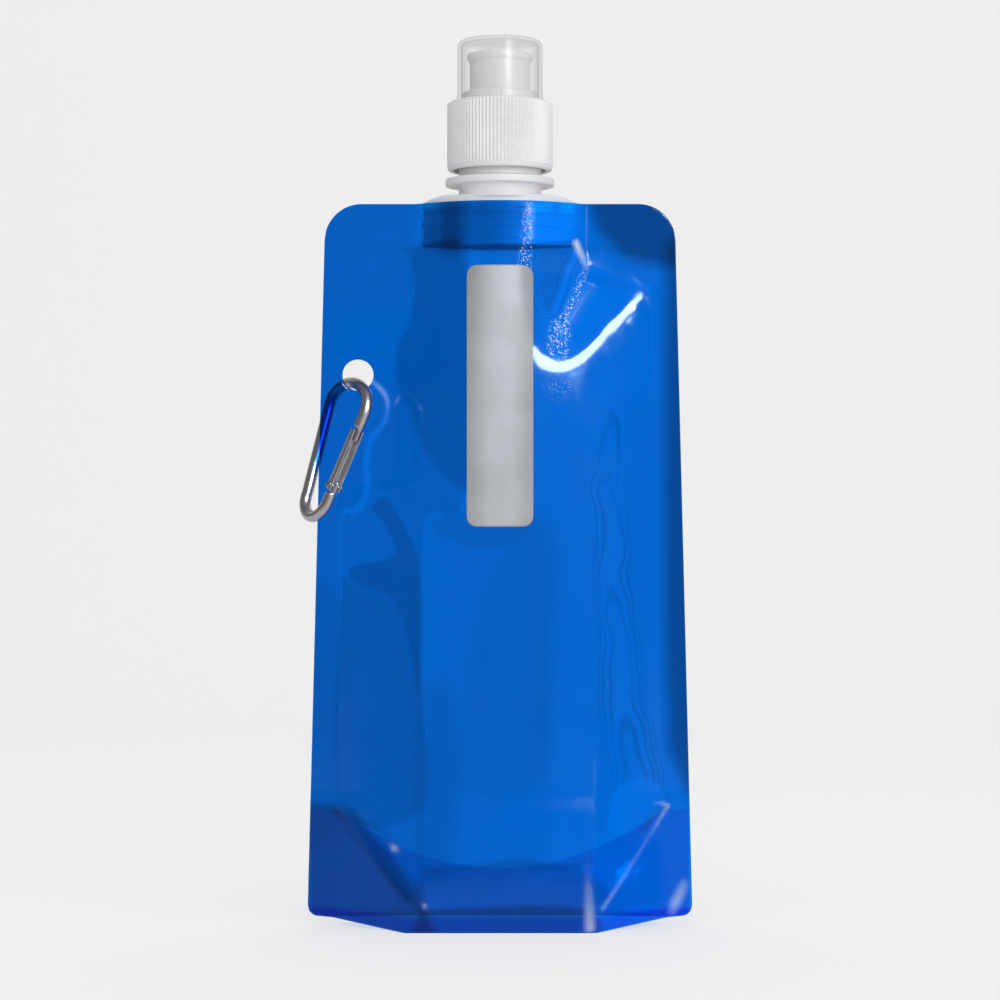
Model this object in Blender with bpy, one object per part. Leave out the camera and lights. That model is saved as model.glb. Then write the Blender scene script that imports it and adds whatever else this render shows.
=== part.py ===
"""Collapsible water bottle: a stand-up film pouch with a welded spout, a screw
cap with a push-pull nozzle under a dust cap, and a carabiner in its side seal.

The frame is in metres, +Z up. The bottle stands on z = 0, its front faces -Y,
and the spout's axis is the Z axis.
"""

import math

import bmesh
import bpy
from mathutils import Matrix, Vector

MM = 0.001

# Clearance between pieces that touch on the real bottle
GAP = 0.3 * MM

# Film pouch
POUCH_HEIGHT = 219.5 * MM
BASE_WIDTH = 117.4 * MM
TOP_WIDTH = 106.4 * MM
FILM = 0.3 * MM
TOP_CORNER_RADIUS = 11.0 * MM
BASE_CORNER_RADIUS = 3.0 * MM
SIDE_SEAL = 8.0 * MM
TOP_SEAL = 13.0 * MM
BELLY_DEPTH = 12.5 * MM
SHOULDER_DROP = 60.0 * MM

# Foot of the pouch, opened by its folded bottom panel
FOOT_DEPTH = 16.5 * MM
FOOT_FLAT = 57.0 * MM
FOOT_UPRIGHT = 9.0 * MM
FOOT_RISE = 58.0 * MM
FOOT_CORNER_LIFT = 3.0 * MM
FOLD_APEX_HEIGHT = 35.0 * MM
FOLD_SAG_HEIGHT = 17.0 * MM
FOLD_HEM_STEP = 0.5 * MM
FOLD_DRAW = 0.97
LAYER_STEP_HEIGHT = 6.0 * MM

# Hanging hole and the widened seal that carries it
HOLE_DIAMETER = 9.5 * MM
HOLE_HEIGHT = 167.4 * MM
HOLE_INSET = 11.2 * MM
PATCH_REACH = 12.0 * MM
PATCH_ABOVE_HOLE = 14.0 * MM
PATCH_BELOW_HOLE = 40.0 * MM
PATCH_FADE = 10.0 * MM

# Write-on label
LABEL_WIDTH = 20.0 * MM
LABEL_HEIGHT = 78.7 * MM
LABEL_TOP_HEIGHT = 200.0 * MM
LABEL_CORNER_RADIUS = 3.0 * MM
LABEL_THICKNESS = 0.2 * MM

# Spout: weld boat, neck, support ring and thread
BOAT_WIDTH = 47.6 * MM
BOAT_DEPTH = 22.0 * MM
BOAT_TIP = 1.0 * MM
BOAT_PROUD = 2.2 * MM
BOAT_RIB = 0.5 * MM
BOAT_RIB_HEIGHT = 1.6 * MM
BOAT_RIBS = 3
BOAT_FILM_MARGIN = 2.2 * MM
NECK_DIAMETER = 25.2 * MM
NECK_BORE = 20.6 * MM
NECK_LENGTH = 24.9 * MM
RING_DIAMETER = 33.2 * MM
RING_THICKNESS = 2.7 * MM
RING_RIM = 2.1 * MM
RING_ABOVE_BOAT = 3.1 * MM
THREAD_PITCH = 3.18 * MM
THREAD_DEPTH = 1.1 * MM
THREAD_ROOT_WIDTH = 1.8 * MM
THREAD_CREST_WIDTH = 0.9 * MM
THREAD_TURNS = 2.0
THREAD_START = 10.0 * MM

# Screw cap with its sealing disc
CAP_DIAMETER = 32.2 * MM
CAP_ABOVE_RING = 2.0 * MM
CAP_DECK = 2.0 * MM
CAP_THREAD_ROOM = 0.45 * MM
CAP_RIBS = 90
CAP_RIB_DEPTH = 0.45 * MM
CAP_BAND = 0.9 * MM
LINER_THICKNESS = 1.2 * MM
LINER_HOLE = 16.0 * MM
COLLAR_DIAMETER = 23.4 * MM
COLLAR_HEIGHT = 2.8 * MM

# Hollow post that the nozzle slides on, with the plug that closes it
POST_DIAMETER = 14.4 * MM
POST_WALL = 1.6 * MM
POST_HEIGHT = 9.6 * MM
POST_BEAD = 0.5 * MM
POST_BEAD_HEIGHT = 0.8 * MM
PLUG_DIAMETER = 5.2 * MM
PLUG_SPOKES = 3
SPOKE_WIDTH = 1.2 * MM
SPOKE_HEIGHT = 6.0 * MM

# Drinking nozzle
NOZZLE_DIAMETER = 18.4 * MM
NOZZLE_HEIGHT = 13.0 * MM
NOZZLE_LIP_HEIGHT = 0.9 * MM
NOZZLE_RIM_DIAMETER = 20.0 * MM
NOZZLE_RIM_HEIGHT = 1.7 * MM
NOZZLE_CROWN = 1.5 * MM
NOZZLE_ROOF = 1.3 * MM

# Dust cap
DUST_CAP_DIAMETER = 26.0 * MM
DUST_CAP_HEIGHT = 18.6 * MM
DUST_CAP_TOP = 1.0 * MM
DUST_CAP_CORNER = 2.0 * MM
DUST_CAP_FLARE = 0.2 * MM
DUST_CAP_FLARE_HEIGHT = 1.5 * MM

# Carabiner
WIRE_DIAMETER = 3.5 * MM
CARABINER_TILT = math.radians(21.0)
CARABINER_TURN = math.radians(53.0)
CARABINER_DROP = 42.6 * MM
BEND_TOP_HALF = 10.0 * MM
BEND_TOP_DROP = 7.5 * MM
BEND_BASE_RADIUS = 6.0 * MM
BEND_BASE_SHIFT = 2.4 * MM
NOSE_DROP = 12.0 * MM
PIN_DROP = 31.5 * MM
TONGUE_LENGTH = 4.4 * MM
TONGUE_HALF_THICKNESS = 0.8 * MM
TONGUE_HALF_DEPTH = 1.3 * MM
TONGUE_ABOVE_PIN = 1.35 * MM
SHOULDER_BELOW_PIN = 2.7 * MM
GATE_WIDTH = 3.7 * MM
GATE_DEPTH = 3.0 * MM
GATE_WALL = 0.5 * MM
GATE_EAR = 1.4 * MM
GATE_BACK_CUT = 1.5 * MM
PIN_DIAMETER = 1.3 * MM
PIN_HEAD_DIAMETER = 2.2 * MM
PIN_HEAD_THICKNESS = 0.5 * MM
SPRING_WIRE = 0.5 * MM
SPRING_LENGTH = 11.0 * MM

# Facets round turned pieces
TURN_STEPS = 48
THREAD_STEPS = 32
SHARP_ANGLE = math.radians(40.0)

# Heights that follow from the sizes above
BOAT_BASE_Z = POUCH_HEIGHT - TOP_SEAL
BOAT_TOP_Z = POUCH_HEIGHT + BOAT_PROUD
RING_BASE_Z = BOAT_TOP_Z + RING_ABOVE_BOAT
RING_TOP_Z = RING_BASE_Z + RING_THICKNESS
NECK_RIM_Z = BOAT_TOP_Z + NECK_LENGTH
CAP_BASE_Z = RING_TOP_Z + CAP_ABOVE_RING
LINER_BASE_Z = NECK_RIM_Z + GAP
DECK_BASE_Z = LINER_BASE_Z + LINER_THICKNESS + GAP
DECK_TOP_Z = DECK_BASE_Z + CAP_DECK
COLLAR_TOP_Z = DECK_TOP_Z + COLLAR_HEIGHT
POST_TOP_Z = DECK_TOP_Z + POST_HEIGHT
NOZZLE_BASE_Z = COLLAR_TOP_Z + GAP
NOZZLE_TOP_Z = NOZZLE_BASE_Z + NOZZLE_HEIGHT
DUST_CAP_BASE_Z = DECK_TOP_Z + GAP
LABEL_BASE_Z = LABEL_TOP_HEIGHT - LABEL_HEIGHT

# Radii that follow from the sizes above
NECK_R = NECK_DIAMETER / 2
THREAD_R = NECK_R + THREAD_DEPTH
CAP_BORE_R = THREAD_R + CAP_THREAD_ROOM
POST_R = POST_DIAMETER / 2
POST_BORE_R = POST_R - POST_WALL
BEAD_R = POST_R + POST_BEAD
COLLAR_R = COLLAR_DIAMETER / 2
DUST_CAP_R = DUST_CAP_DIAMETER / 2
WIRE_R = WIRE_DIAMETER / 2

# Middle surfaces of the films where they lie face to face in a seal
SEAL_Y = (FILM + GAP) / 2
LAYER_Y = SEAL_Y + FILM + GAP


def smooth(value):
    """Ease from 0 to 1 while the value goes from 0 to 1."""
    value = min(max(value, 0.0), 1.0)
    return value * value * (3.0 - 2.0 * value)


def blend(low, high, share):
    """Value between low and high."""
    return low + (high - low) * share


# Materials


def material(name, color, roughness, metallic=0.0, alpha=1.0):
    """Principled material with the part's colour and finish."""
    mat = bpy.data.materials.new(name)
    mat.use_nodes = True
    shader = mat.node_tree.nodes["Principled BSDF"]
    shader.inputs["Base Color"].default_value = (*color, 1.0)
    shader.inputs["Roughness"].default_value = roughness
    shader.inputs["Metallic"].default_value = metallic
    shader.inputs["Alpha"].default_value = alpha
    return mat


def make_materials():
    """Every finish of the bottle."""
    return {
        "film": material("blue_film", (0.0, 0.105, 0.56), 0.12, alpha=0.8),
        "label": material("satin_label", (0.47, 0.49, 0.53), 0.45, metallic=0.6),
        "white": material("white_plastic", (0.80, 0.80, 0.81), 0.35),
        "clear": material("clear_plastic", (0.85, 0.85, 0.86), 0.1, alpha=0.35),
        "liner": material("liner_foam", (0.72, 0.72, 0.70), 0.7),
        "aluminium": material("polished_aluminium", (0.62, 0.60, 0.58), 0.2, metallic=1.0),
        "steel": material("spring_steel", (0.45, 0.45, 0.46), 0.3, metallic=1.0),
    }


# Mesh helpers


def new_object(name, bm, mat, origin=(0.0, 0.0, 0.0)):
    """Object from a mesh in world places, with its origin at a chosen point."""
    bmesh.ops.transform(bm, matrix=Matrix.Translation(-Vector(origin)), verts=bm.verts)
    mesh = bpy.data.meshes.new(name)
    bm.to_mesh(mesh)
    bm.free()
    mesh.shade_smooth()
    mesh.set_sharp_from_angle(angle=SHARP_ANGLE)
    obj = bpy.data.objects.new(name, mesh)
    obj.location = origin
    if mat is not None:
        mesh.materials.append(mat)
    bpy.context.collection.objects.link(obj)
    return obj


def helper(obj):
    """Mark an object that only cuts or joins another."""
    obj.hide_render = True
    obj.display_type = "WIRE"
    return obj


def combine(obj, other, operation):
    """Cut another object out of this one, or join it on."""
    mod = obj.modifiers.new(operation.lower() + "_" + other.name, "BOOLEAN")
    mod.operation = operation
    mod.solver = "EXACT"
    mod.object = helper(other)


def turned_mesh(profile, steps=TURN_STEPS):
    """Closed profile of (radius, height) points turned round the Z axis."""
    bm = bmesh.new()
    verts = [bm.verts.new((r, 0.0, z)) for r, z in profile]
    edges = [bm.edges.new((a, b)) for a, b in zip(verts, verts[1:] + verts[:1])]
    bmesh.ops.spin(
        bm, geom=verts + edges, cent=(0, 0, 0), axis=(0, 0, 1),
        angle=math.tau, steps=steps, use_merge=True, use_duplicate=False)
    bmesh.ops.remove_doubles(bm, verts=bm.verts, dist=0.001 * MM)
    bmesh.ops.recalc_face_normals(bm, faces=bm.faces)
    return bm


def cylinder_mesh(radius, length, centre, axis, steps):
    """Closed cylinder along an axis through its centre."""
    bm = bmesh.new()
    turn = Vector((0, 0, 1)).rotation_difference(Vector(axis)).to_matrix().to_4x4()
    bmesh.ops.create_cone(
        bm, cap_ends=True, segments=steps, radius1=radius, radius2=radius,
        depth=length, matrix=Matrix.Translation(centre) @ turn)
    return bm


def box_mesh(size, frame):
    """Closed box of a given size, in a given frame."""
    bm = bmesh.new()
    bmesh.ops.create_cube(bm, size=1.0, matrix=frame @ Matrix.Diagonal((*size, 1.0)))
    return bm


def ring_mesh(rings):
    """Closed body through a row of rings that have the same number of points."""
    bm = bmesh.new()
    loops = [[bm.verts.new(point) for point in ring] for ring in rings]
    for low, high in zip(loops, loops[1:]):
        for i in range(len(low)):
            j = (i + 1) % len(low)
            bm.faces.new((low[i], low[j], high[j], high[i]))
    bm.faces.new(loops[0][::-1])
    bm.faces.new(loops[-1])
    bmesh.ops.recalc_face_normals(bm, faces=bm.faces)
    return bm


def sheet(name, columns, rows, place, thickness, mat):
    """Thin wall over a grid, where place(u, v) gives the middle surface.

    u runs from -1 to 1 across and v from 0 to 1 upwards. The columns crowd
    towards both sides, where the corners are round.
    """
    bm = bmesh.new()
    bmesh.ops.create_grid(bm, x_segments=columns, y_segments=rows, size=1.0)
    for vert in bm.verts:
        u = math.sin(vert.co.x * math.pi / 2)
        vert.co = place(u, (vert.co.y + 1.0) / 2)
    obj = new_object(name, bm, mat)
    wall = obj.modifiers.new("wall", "SOLIDIFY")
    wall.thickness = thickness
    wall.offset = 0.0
    return obj


def corner_drop(x, half, radius):
    """How far a rounded outline falls away from its edge at x."""
    past = min(max(abs(x) - (half - radius), 0.0), radius)
    return radius - math.sqrt(radius * radius - past * past)


# Film pouch


def half_width(z):
    """Half the pouch's width at a height."""
    return blend(BASE_WIDTH, TOP_WIDTH, z / POUCH_HEIGHT) / 2


def hole_centre():
    """Centre of the hanging hole, in the left side seal."""
    return Vector((HOLE_INSET - half_width(HOLE_HEIGHT), 0.0, HOLE_HEIGHT))


def patch_reach(z):
    """Extra width of the left seal round the hanging hole."""
    above = smooth((HOLE_HEIGHT + PATCH_ABOVE_HOLE - z) / PATCH_FADE)
    below = smooth((z - HOLE_HEIGHT + PATCH_BELOW_HOLE) / PATCH_FADE)
    return PATCH_REACH * above * below


def boat_section(x, half):
    """Share of the boat's depth at x, for a boat of this half width."""
    return max(1.0 - (x / half) ** 2, 0.0)


def hem_height(x):
    """Height of the pouch's bottom edge, raised towards its corners."""
    half_flat = FOOT_FLAT / 2
    reach = BASE_WIDTH / 2 - half_flat
    lift = FOOT_CORNER_LIFT * max(abs(x) - half_flat, 0.0) / reach
    return lift + corner_drop(x, BASE_WIDTH / 2, BASE_CORNER_RADIUS)


def panel_depth(x, z):
    """Distance of a panel's middle surface from the pouch's middle plane."""
    left = patch_reach(z) + SIDE_SEAL - half_width(z)
    right = half_width(z) - SIDE_SEAL
    share = min(max((x - left) / (right - left), 0.0), 1.0)
    belly = BELLY_DEPTH * (4.0 * share * (1.0 - share)) ** 0.8

    over_boat = BOAT_DEPTH / 2 + GAP + FILM / 2 - SEAL_Y
    crown = over_boat * boat_section(x, BOAT_WIDTH / 2 + BOAT_FILM_MARGIN)
    towards_top = smooth((z - BOAT_BASE_Z + SHOULDER_DROP) / SHOULDER_DROP)

    open_part = (right - abs(x)) / (right - FOOT_FLAT / 2)
    foot = FOOT_DEPTH * min(max(open_part, 0.0), 1.0)
    towards_foot = 1.0 - smooth((z - FOOT_UPRIGHT) / FOOT_RISE)

    layers = smooth((z - FOLD_APEX_HEIGHT) / LAYER_STEP_HEIGHT)
    swell = blend(blend(belly, crown, towards_top), foot, towards_foot)
    return blend(LAYER_Y, SEAL_Y, layers) + swell


def panel_place(side):
    """Middle surface of the panel on one side, -1 in front and 1 behind."""
    def place(u, v):
        top = POUCH_HEIGHT - corner_drop(u * TOP_WIDTH / 2, TOP_WIDTH / 2, TOP_CORNER_RADIUS)
        z = blend(hem_height(u * BASE_WIDTH / 2), top, v)
        x = u * half_width(z)
        return Vector((x, side * panel_depth(x, z), z))
    return place


def make_panel(name, side, mat):
    """One big film panel with its share of the hanging hole."""
    panel = sheet(name, 22, 26, panel_place(side), FILM, mat)
    cutter = cylinder_mesh(HOLE_DIAMETER / 2, 20 * FILM, hole_centre(), (0, 1, 0), 24)
    combine(panel, new_object("hole_cutter_" + name, cutter, None), "DIFFERENCE")
    return panel


def fold_height(x):
    """Height of the bottom panel's fold, which sags between its two ends."""
    reach = half_width(FOLD_APEX_HEIGHT) - SIDE_SEAL
    share = min(abs(x) / reach, 1.0)
    return blend(FOLD_SAG_HEIGHT, FOLD_APEX_HEIGHT, share * share)


def gusset_place(u, v):
    """Middle surface of the folded bottom panel, from front hem to rear hem."""
    turn = 2.0 * v - 1.0
    side = math.copysign(1.0, turn)
    leg = min(abs(turn), 1.0)
    leg_end = 2.0 / 7.0
    x = u * (half_width(FOLD_APEX_HEIGHT) - GAP)
    hem = hem_height(x) + FOLD_HEM_STEP
    fold = fold_height(x)
    if leg <= leg_end:
        angle = leg / leg_end * math.pi / 2
        return Vector((x, side * SEAL_Y * math.sin(angle), fold + SEAL_Y * (math.cos(angle) - 1.0)))
    share = (leg - leg_end) / (1.0 - leg_end)
    z = blend(fold - SEAL_Y, hem, share)
    foot = FOLD_DRAW * (panel_depth(x, hem) - LAYER_Y)
    return Vector((x, side * (SEAL_Y + foot * share), z))


def make_label(mat):
    """Write-on label lying on the front panel."""
    stand_off = FILM / 2 + GAP + LABEL_THICKNESS / 2

    def place(u, v):
        x = u * LABEL_WIDTH / 2
        cut = corner_drop(x, LABEL_WIDTH / 2, LABEL_CORNER_RADIUS)
        z = blend(LABEL_BASE_Z + cut, LABEL_TOP_HEIGHT - cut, v)
        return Vector((x, -panel_depth(x, z) - stand_off, z))

    return sheet("write_on_label", 12, 12, place, LABEL_THICKNESS, mat)


# Spout


def thread_mesh(root, crest, start, turns):
    """Helical ridge between a root and a crest radius, with faded ends."""
    steps = int(THREAD_STEPS * turns)
    fade = THREAD_STEPS / 8
    rings = []
    for i in range(steps + 1):
        angle = math.tau * i / THREAD_STEPS
        height = start + THREAD_PITCH * i / THREAD_STEPS
        fullness = min(1.0, (i + 1) / fade, (steps - i + 1) / fade)
        tip = blend(root, crest, fullness)
        half_root = THREAD_ROOT_WIDTH / 2
        half_tip = blend(half_root, THREAD_CREST_WIDTH / 2, fullness)
        section = [(root, -half_root), (tip, -half_tip), (tip, half_tip), (root, half_root)]
        rings.append([
            (r * math.cos(angle), r * math.sin(angle), height + rise) for r, rise in section])
    return ring_mesh(rings)


def boat_mesh():
    """Weld boat: a lens with ribs that the film is sealed to."""
    half = BOAT_WIDTH / 2
    count = 12

    def outline(z, inset):
        front = []
        for i in range(count + 1):
            x = half * math.sin((i / count - 0.5) * math.pi)
            depth = BOAT_TIP / 2 + (BOAT_DEPTH / 2 - BOAT_TIP / 2) * boat_section(x, half)
            front.append((x * (1.0 - inset / half), depth * (1.0 - 2.0 * inset / BOAT_DEPTH)))
        ring = [(x, -y, z) for x, y in front] + [(x, y, z) for x, y in reversed(front)]
        return ring

    rings = []
    pitch = (TOP_SEAL - BOAT_RIB_HEIGHT) / (BOAT_RIBS - 1)
    for i in range(BOAT_RIBS):
        low = BOAT_BASE_Z + i * pitch
        high = low + BOAT_RIB_HEIGHT
        if i:
            rings.append(outline(low - BOAT_RIB, BOAT_RIB))
        rings.append(outline(low, 0.0))
        if i < BOAT_RIBS - 1:
            rings.append(outline(high, 0.0))
            rings.append(outline(high + BOAT_RIB, BOAT_RIB))
    rings.append(outline(BOAT_TOP_Z, 0.0))
    return ring_mesh(rings)


def make_spout(mat):
    """Spout moulding: boat, neck, support ring, thread and bore."""
    spout = new_object("spout_fitment", boat_mesh(), mat)
    ring = RING_DIAMETER / 2
    slope_z = RING_BASE_Z + RING_RIM
    neck = turned_mesh([
        (0, BOAT_BASE_Z + BOAT_RIB_HEIGHT), (0, NECK_RIM_Z), (NECK_R - GAP, NECK_RIM_Z),
        (NECK_R, NECK_RIM_Z - GAP), (NECK_R, RING_TOP_Z), (ring, slope_z), (ring, RING_BASE_Z),
        (NECK_R, RING_BASE_Z), (NECK_R, BOAT_TOP_Z - GAP), (NECK_BORE / 2 + GAP, BOAT_TOP_Z - GAP),
        (NECK_BORE / 2 + GAP, BOAT_BASE_Z + BOAT_RIB_HEIGHT)])
    combine(spout, new_object("neck_join", neck, None), "UNION")
    ridge = thread_mesh(NECK_R - GAP, THREAD_R, RING_TOP_Z + THREAD_START - THREAD_PITCH, THREAD_TURNS)
    combine(spout, new_object("thread_join", ridge, None), "UNION")
    length = NECK_RIM_Z - BOAT_BASE_Z
    centre = (0, 0, BOAT_BASE_Z + length / 2)
    bore = cylinder_mesh(NECK_BORE / 2, 1.2 * length, centre, (0, 0, 1), TURN_STEPS)
    combine(spout, new_object("bore_cutter", bore, None), "DIFFERENCE")
    return spout


# Cap, nozzle and dust cap


def cap_shell_mesh():
    """Solid outside of the cap, with its vertical ribs."""
    outer = CAP_DIAMETER / 2
    valley = outer - CAP_RIB_DEPTH
    count = 2 * CAP_RIBS

    def ring(z, ribbed):
        points = []
        for i in range(count):
            r = outer if ribbed and i % 2 else valley
            angle = math.tau * i / count
            points.append((r * math.cos(angle), r * math.sin(angle), z))
        return points

    return ring_mesh([
        ring(CAP_BASE_Z, False), ring(CAP_BASE_Z + CAP_BAND, True),
        ring(DECK_TOP_Z - CAP_BAND, True), ring(DECK_TOP_Z, False)])


def make_cap(mat):
    """Ribbed screw cap with its thread, and the post and plug on its deck."""
    cap = new_object("screw_cap", cap_shell_mesh(), mat)
    skirt = DECK_BASE_Z - CAP_BASE_Z
    hollow = cylinder_mesh(
        CAP_BORE_R, 2 * skirt, (0, 0, DECK_BASE_Z - skirt), (0, 0, 1), TURN_STEPS)
    combine(cap, new_object("skirt_cutter", hollow, None), "DIFFERENCE")
    start = RING_TOP_Z + THREAD_START - 1.5 * THREAD_PITCH
    ridge = thread_mesh(CAP_BORE_R + GAP, CAP_BORE_R - THREAD_DEPTH, start, THREAD_TURNS)
    combine(cap, new_object("cap_thread_join", ridge, None), "UNION")
    post = turned_mesh([
        (0, DECK_TOP_Z - GAP), (COLLAR_R, DECK_TOP_Z - GAP), (COLLAR_R, COLLAR_TOP_Z),
        (POST_R, COLLAR_TOP_Z), (POST_R, POST_TOP_Z - POST_BEAD_HEIGHT),
        (BEAD_R, POST_TOP_Z - POST_BEAD_HEIGHT), (BEAD_R, POST_TOP_Z - POST_BEAD_HEIGHT / 2),
        (POST_R, POST_TOP_Z), (0, POST_TOP_Z)])
    combine(cap, new_object("post_join", post, None), "UNION")
    waterway = cylinder_mesh(
        POST_BORE_R, 2 * POST_HEIGHT + CAP_DECK, (0, 0, DECK_TOP_Z), (0, 0, 1), 24)
    combine(cap, new_object("waterway_cutter", waterway, None), "DIFFERENCE")
    for i in range(PLUG_SPOKES):
        turn = Matrix.Rotation(math.tau * i / PLUG_SPOKES, 4, "Z")
        reach = POST_BORE_R + POST_WALL / 2
        place = Matrix.Translation((reach / 2, 0, POST_TOP_Z - GAP - SPOKE_HEIGHT / 2))
        spoke = box_mesh((reach, SPOKE_WIDTH, SPOKE_HEIGHT), turn @ place)
        combine(cap, new_object(f"spoke_join_{i}", spoke, None), "UNION")
    plug_base = POST_TOP_Z - SPOKE_HEIGHT - 2 * GAP
    plug_top = NOZZLE_TOP_Z - GAP
    plug = cylinder_mesh(
        PLUG_DIAMETER / 2, plug_top - plug_base, (0, 0, (plug_base + plug_top) / 2), (0, 0, 1), 24)
    combine(cap, new_object("plug_join", plug, None), "UNION")
    return cap


def make_liner(mat):
    """Sealing disc between the neck's rim and the cap's deck."""
    outer = CAP_BORE_R - 2 * GAP
    inner = LINER_HOLE / 2
    top = LINER_BASE_Z + LINER_THICKNESS
    bm = turned_mesh([(inner, LINER_BASE_Z), (outer, LINER_BASE_Z), (outer, top), (inner, top)])
    return new_object("cap_liner", bm, mat)


def make_nozzle(mat):
    """Nozzle that slides on the post and opens when it is pulled."""
    outer = NOZZLE_DIAMETER / 2
    rim = NOZZLE_RIM_DIAMETER / 2
    bore = BEAD_R + GAP
    lip = POST_R + GAP
    hole = PLUG_DIAMETER / 2 + GAP
    rim_top = NOZZLE_TOP_Z - NOZZLE_CROWN
    rim_base = rim_top - NOZZLE_RIM_HEIGHT
    roof = NOZZLE_TOP_Z - NOZZLE_ROOF
    bm = turned_mesh([
        (lip, NOZZLE_BASE_Z), (outer, NOZZLE_BASE_Z), (outer, rim_base - (rim - outer)),
        (rim, rim_base), (rim, rim_top), (blend(rim, hole, 0.4), rim_top + 0.7 * NOZZLE_CROWN),
        (hole + NOZZLE_CROWN, NOZZLE_TOP_Z), (hole, NOZZLE_TOP_Z), (hole, roof),
        (bore, rim_top - NOZZLE_ROOF), (bore, NOZZLE_BASE_Z + NOZZLE_LIP_HEIGHT),
        (lip, NOZZLE_BASE_Z + NOZZLE_LIP_HEIGHT)])
    return new_object("drinking_nozzle", bm, mat, origin=(0, 0, NOZZLE_BASE_Z))


def make_dust_cap(mat):
    """Clear cap that snaps over the collar and covers the nozzle."""
    inner = COLLAR_R + GAP
    top = DUST_CAP_BASE_Z + DUST_CAP_HEIGHT
    roof = top - DUST_CAP_TOP
    flare_z = DUST_CAP_BASE_Z + DUST_CAP_FLARE_HEIGHT
    profile = [
        (inner, DUST_CAP_BASE_Z), (DUST_CAP_R + DUST_CAP_FLARE, DUST_CAP_BASE_Z),
        (DUST_CAP_R + DUST_CAP_FLARE, flare_z), (DUST_CAP_R, flare_z + DUST_CAP_FLARE)]
    for i in range(5):
        angle = math.pi / 2 * i / 4
        profile.append((
            DUST_CAP_R - DUST_CAP_CORNER * (1.0 - math.cos(angle)),
            top - DUST_CAP_CORNER * (1.0 - math.sin(angle))))
    profile += [(0, top), (0, roof), (inner - DUST_CAP_TOP, roof), (inner, roof - DUST_CAP_TOP)]
    return new_object("dust_cap", turned_mesh(profile), mat, origin=(0, 0, DUST_CAP_BASE_Z))


# Carabiner


def carabiner_frame():
    """Frame of the wire loop: X towards the gate, Y square to the loop, Z down it.

    Its origin is the wire's centre in the hanging hole, where the wire rests
    on the hole's lower edge.
    """
    tilt = CARABINER_TILT
    down = Vector((-math.sin(tilt), 0.0, -math.cos(tilt)))
    beside = Vector((math.cos(tilt), 0.0, -math.sin(tilt)))
    to_gate = math.cos(CARABINER_TURN) * beside - math.sin(CARABINER_TURN) * Vector((0, 1, 0))
    square = down.cross(to_gate)
    rest = hole_centre() + (HOLE_DIAMETER / 2 - WIRE_R - GAP) * hole_lean()
    frame = Matrix((to_gate, square, down)).transposed().to_4x4()
    frame.translation = rest
    return frame


def hole_lean():
    """Direction in which the wire leans on the hole's edge."""
    lean = CARABINER_TILT / 2
    return Vector((-math.sin(lean), 0.0, -math.cos(lean)))


def gate_line(drop):
    """Distance of the gate side from the loop's middle line, at a drop."""
    low = BEND_BASE_SHIFT + BEND_BASE_RADIUS
    low_drop = CARABINER_DROP - BEND_BASE_RADIUS
    share = (drop - BEND_TOP_DROP) / (low_drop - BEND_TOP_DROP)
    return blend(BEND_TOP_HALF, low, share)


def wire_centreline():
    """Points (aside, drop) along the wire, from its nose to its hinge end."""
    points = []
    run = 5
    for i in range(run):
        drop = blend(NOSE_DROP, BEND_TOP_DROP, i / run)
        points.append((gate_line(drop), drop))
    for i in range(13):
        angle = math.pi * i / 12
        points.append((
            BEND_TOP_HALF * math.cos(angle), BEND_TOP_DROP * (1.0 - math.sin(angle))))
    low_drop = CARABINER_DROP - BEND_BASE_RADIUS
    spine_low = BEND_BASE_SHIFT - BEND_BASE_RADIUS
    for i in range(1, 6):
        share = i / 6
        points.append((
            blend(-BEND_TOP_HALF, spine_low, share), blend(BEND_TOP_DROP, low_drop, share)))
    for i in range(11):
        angle = math.pi * (1.0 + i / 10)
        points.append((
            BEND_BASE_SHIFT + BEND_BASE_RADIUS * math.cos(angle),
            low_drop - BEND_BASE_RADIUS * math.sin(angle)))
    end = PIN_DROP + SHOULDER_BELOW_PIN
    points.append((gate_line(end), end))
    return points


def wire_ring(aside, drop, along, half_depth, half_thickness, shift):
    """Ring of the wire at a point, square to the direction along it."""
    across = Vector((-along.y, along.x))
    centre = Vector((aside, drop)) + across * shift
    ring = []
    for i in range(10):
        angle = math.tau * i / 10
        spot = centre + across * half_depth * math.cos(angle)
        ring.append(Vector((spot.x, half_thickness * math.sin(angle), spot.y)))
    return ring


def wire_mesh():
    """Carabiner wire: a round rod with a flattened tongue at each end."""
    line = [Vector(point) for point in wire_centreline()]
    shift = WIRE_R - TONGUE_HALF_DEPTH
    taper = WIRE_R / 2
    start_along = (line[1] - line[0]).normalized()
    end_along = (line[-1] - line[-2]).normalized()
    end_reach = SHOULDER_BELOW_PIN + TONGUE_ABOVE_PIN
    rings = []
    for back in (TONGUE_LENGTH, taper):
        spot = line[0] - start_along * back
        rings.append((spot, start_along, True))
    for i, spot in enumerate(line):
        ahead = line[min(i + 1, len(line) - 1)]
        behind = line[max(i - 1, 0)]
        rings.append((spot, (ahead - behind).normalized(), False))
    for on in (taper, end_reach):
        rings.append((line[-1] + end_along * on, end_along, True))
    placed = []
    for spot, along, flat in rings:
        if flat:
            placed.append(wire_ring(
                spot.x, spot.y, along, TONGUE_HALF_DEPTH, TONGUE_HALF_THICKNESS, shift))
        else:
            placed.append(wire_ring(spot.x, spot.y, along, WIRE_R, WIRE_R, 0.0))
    return ring_mesh(placed)


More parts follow.
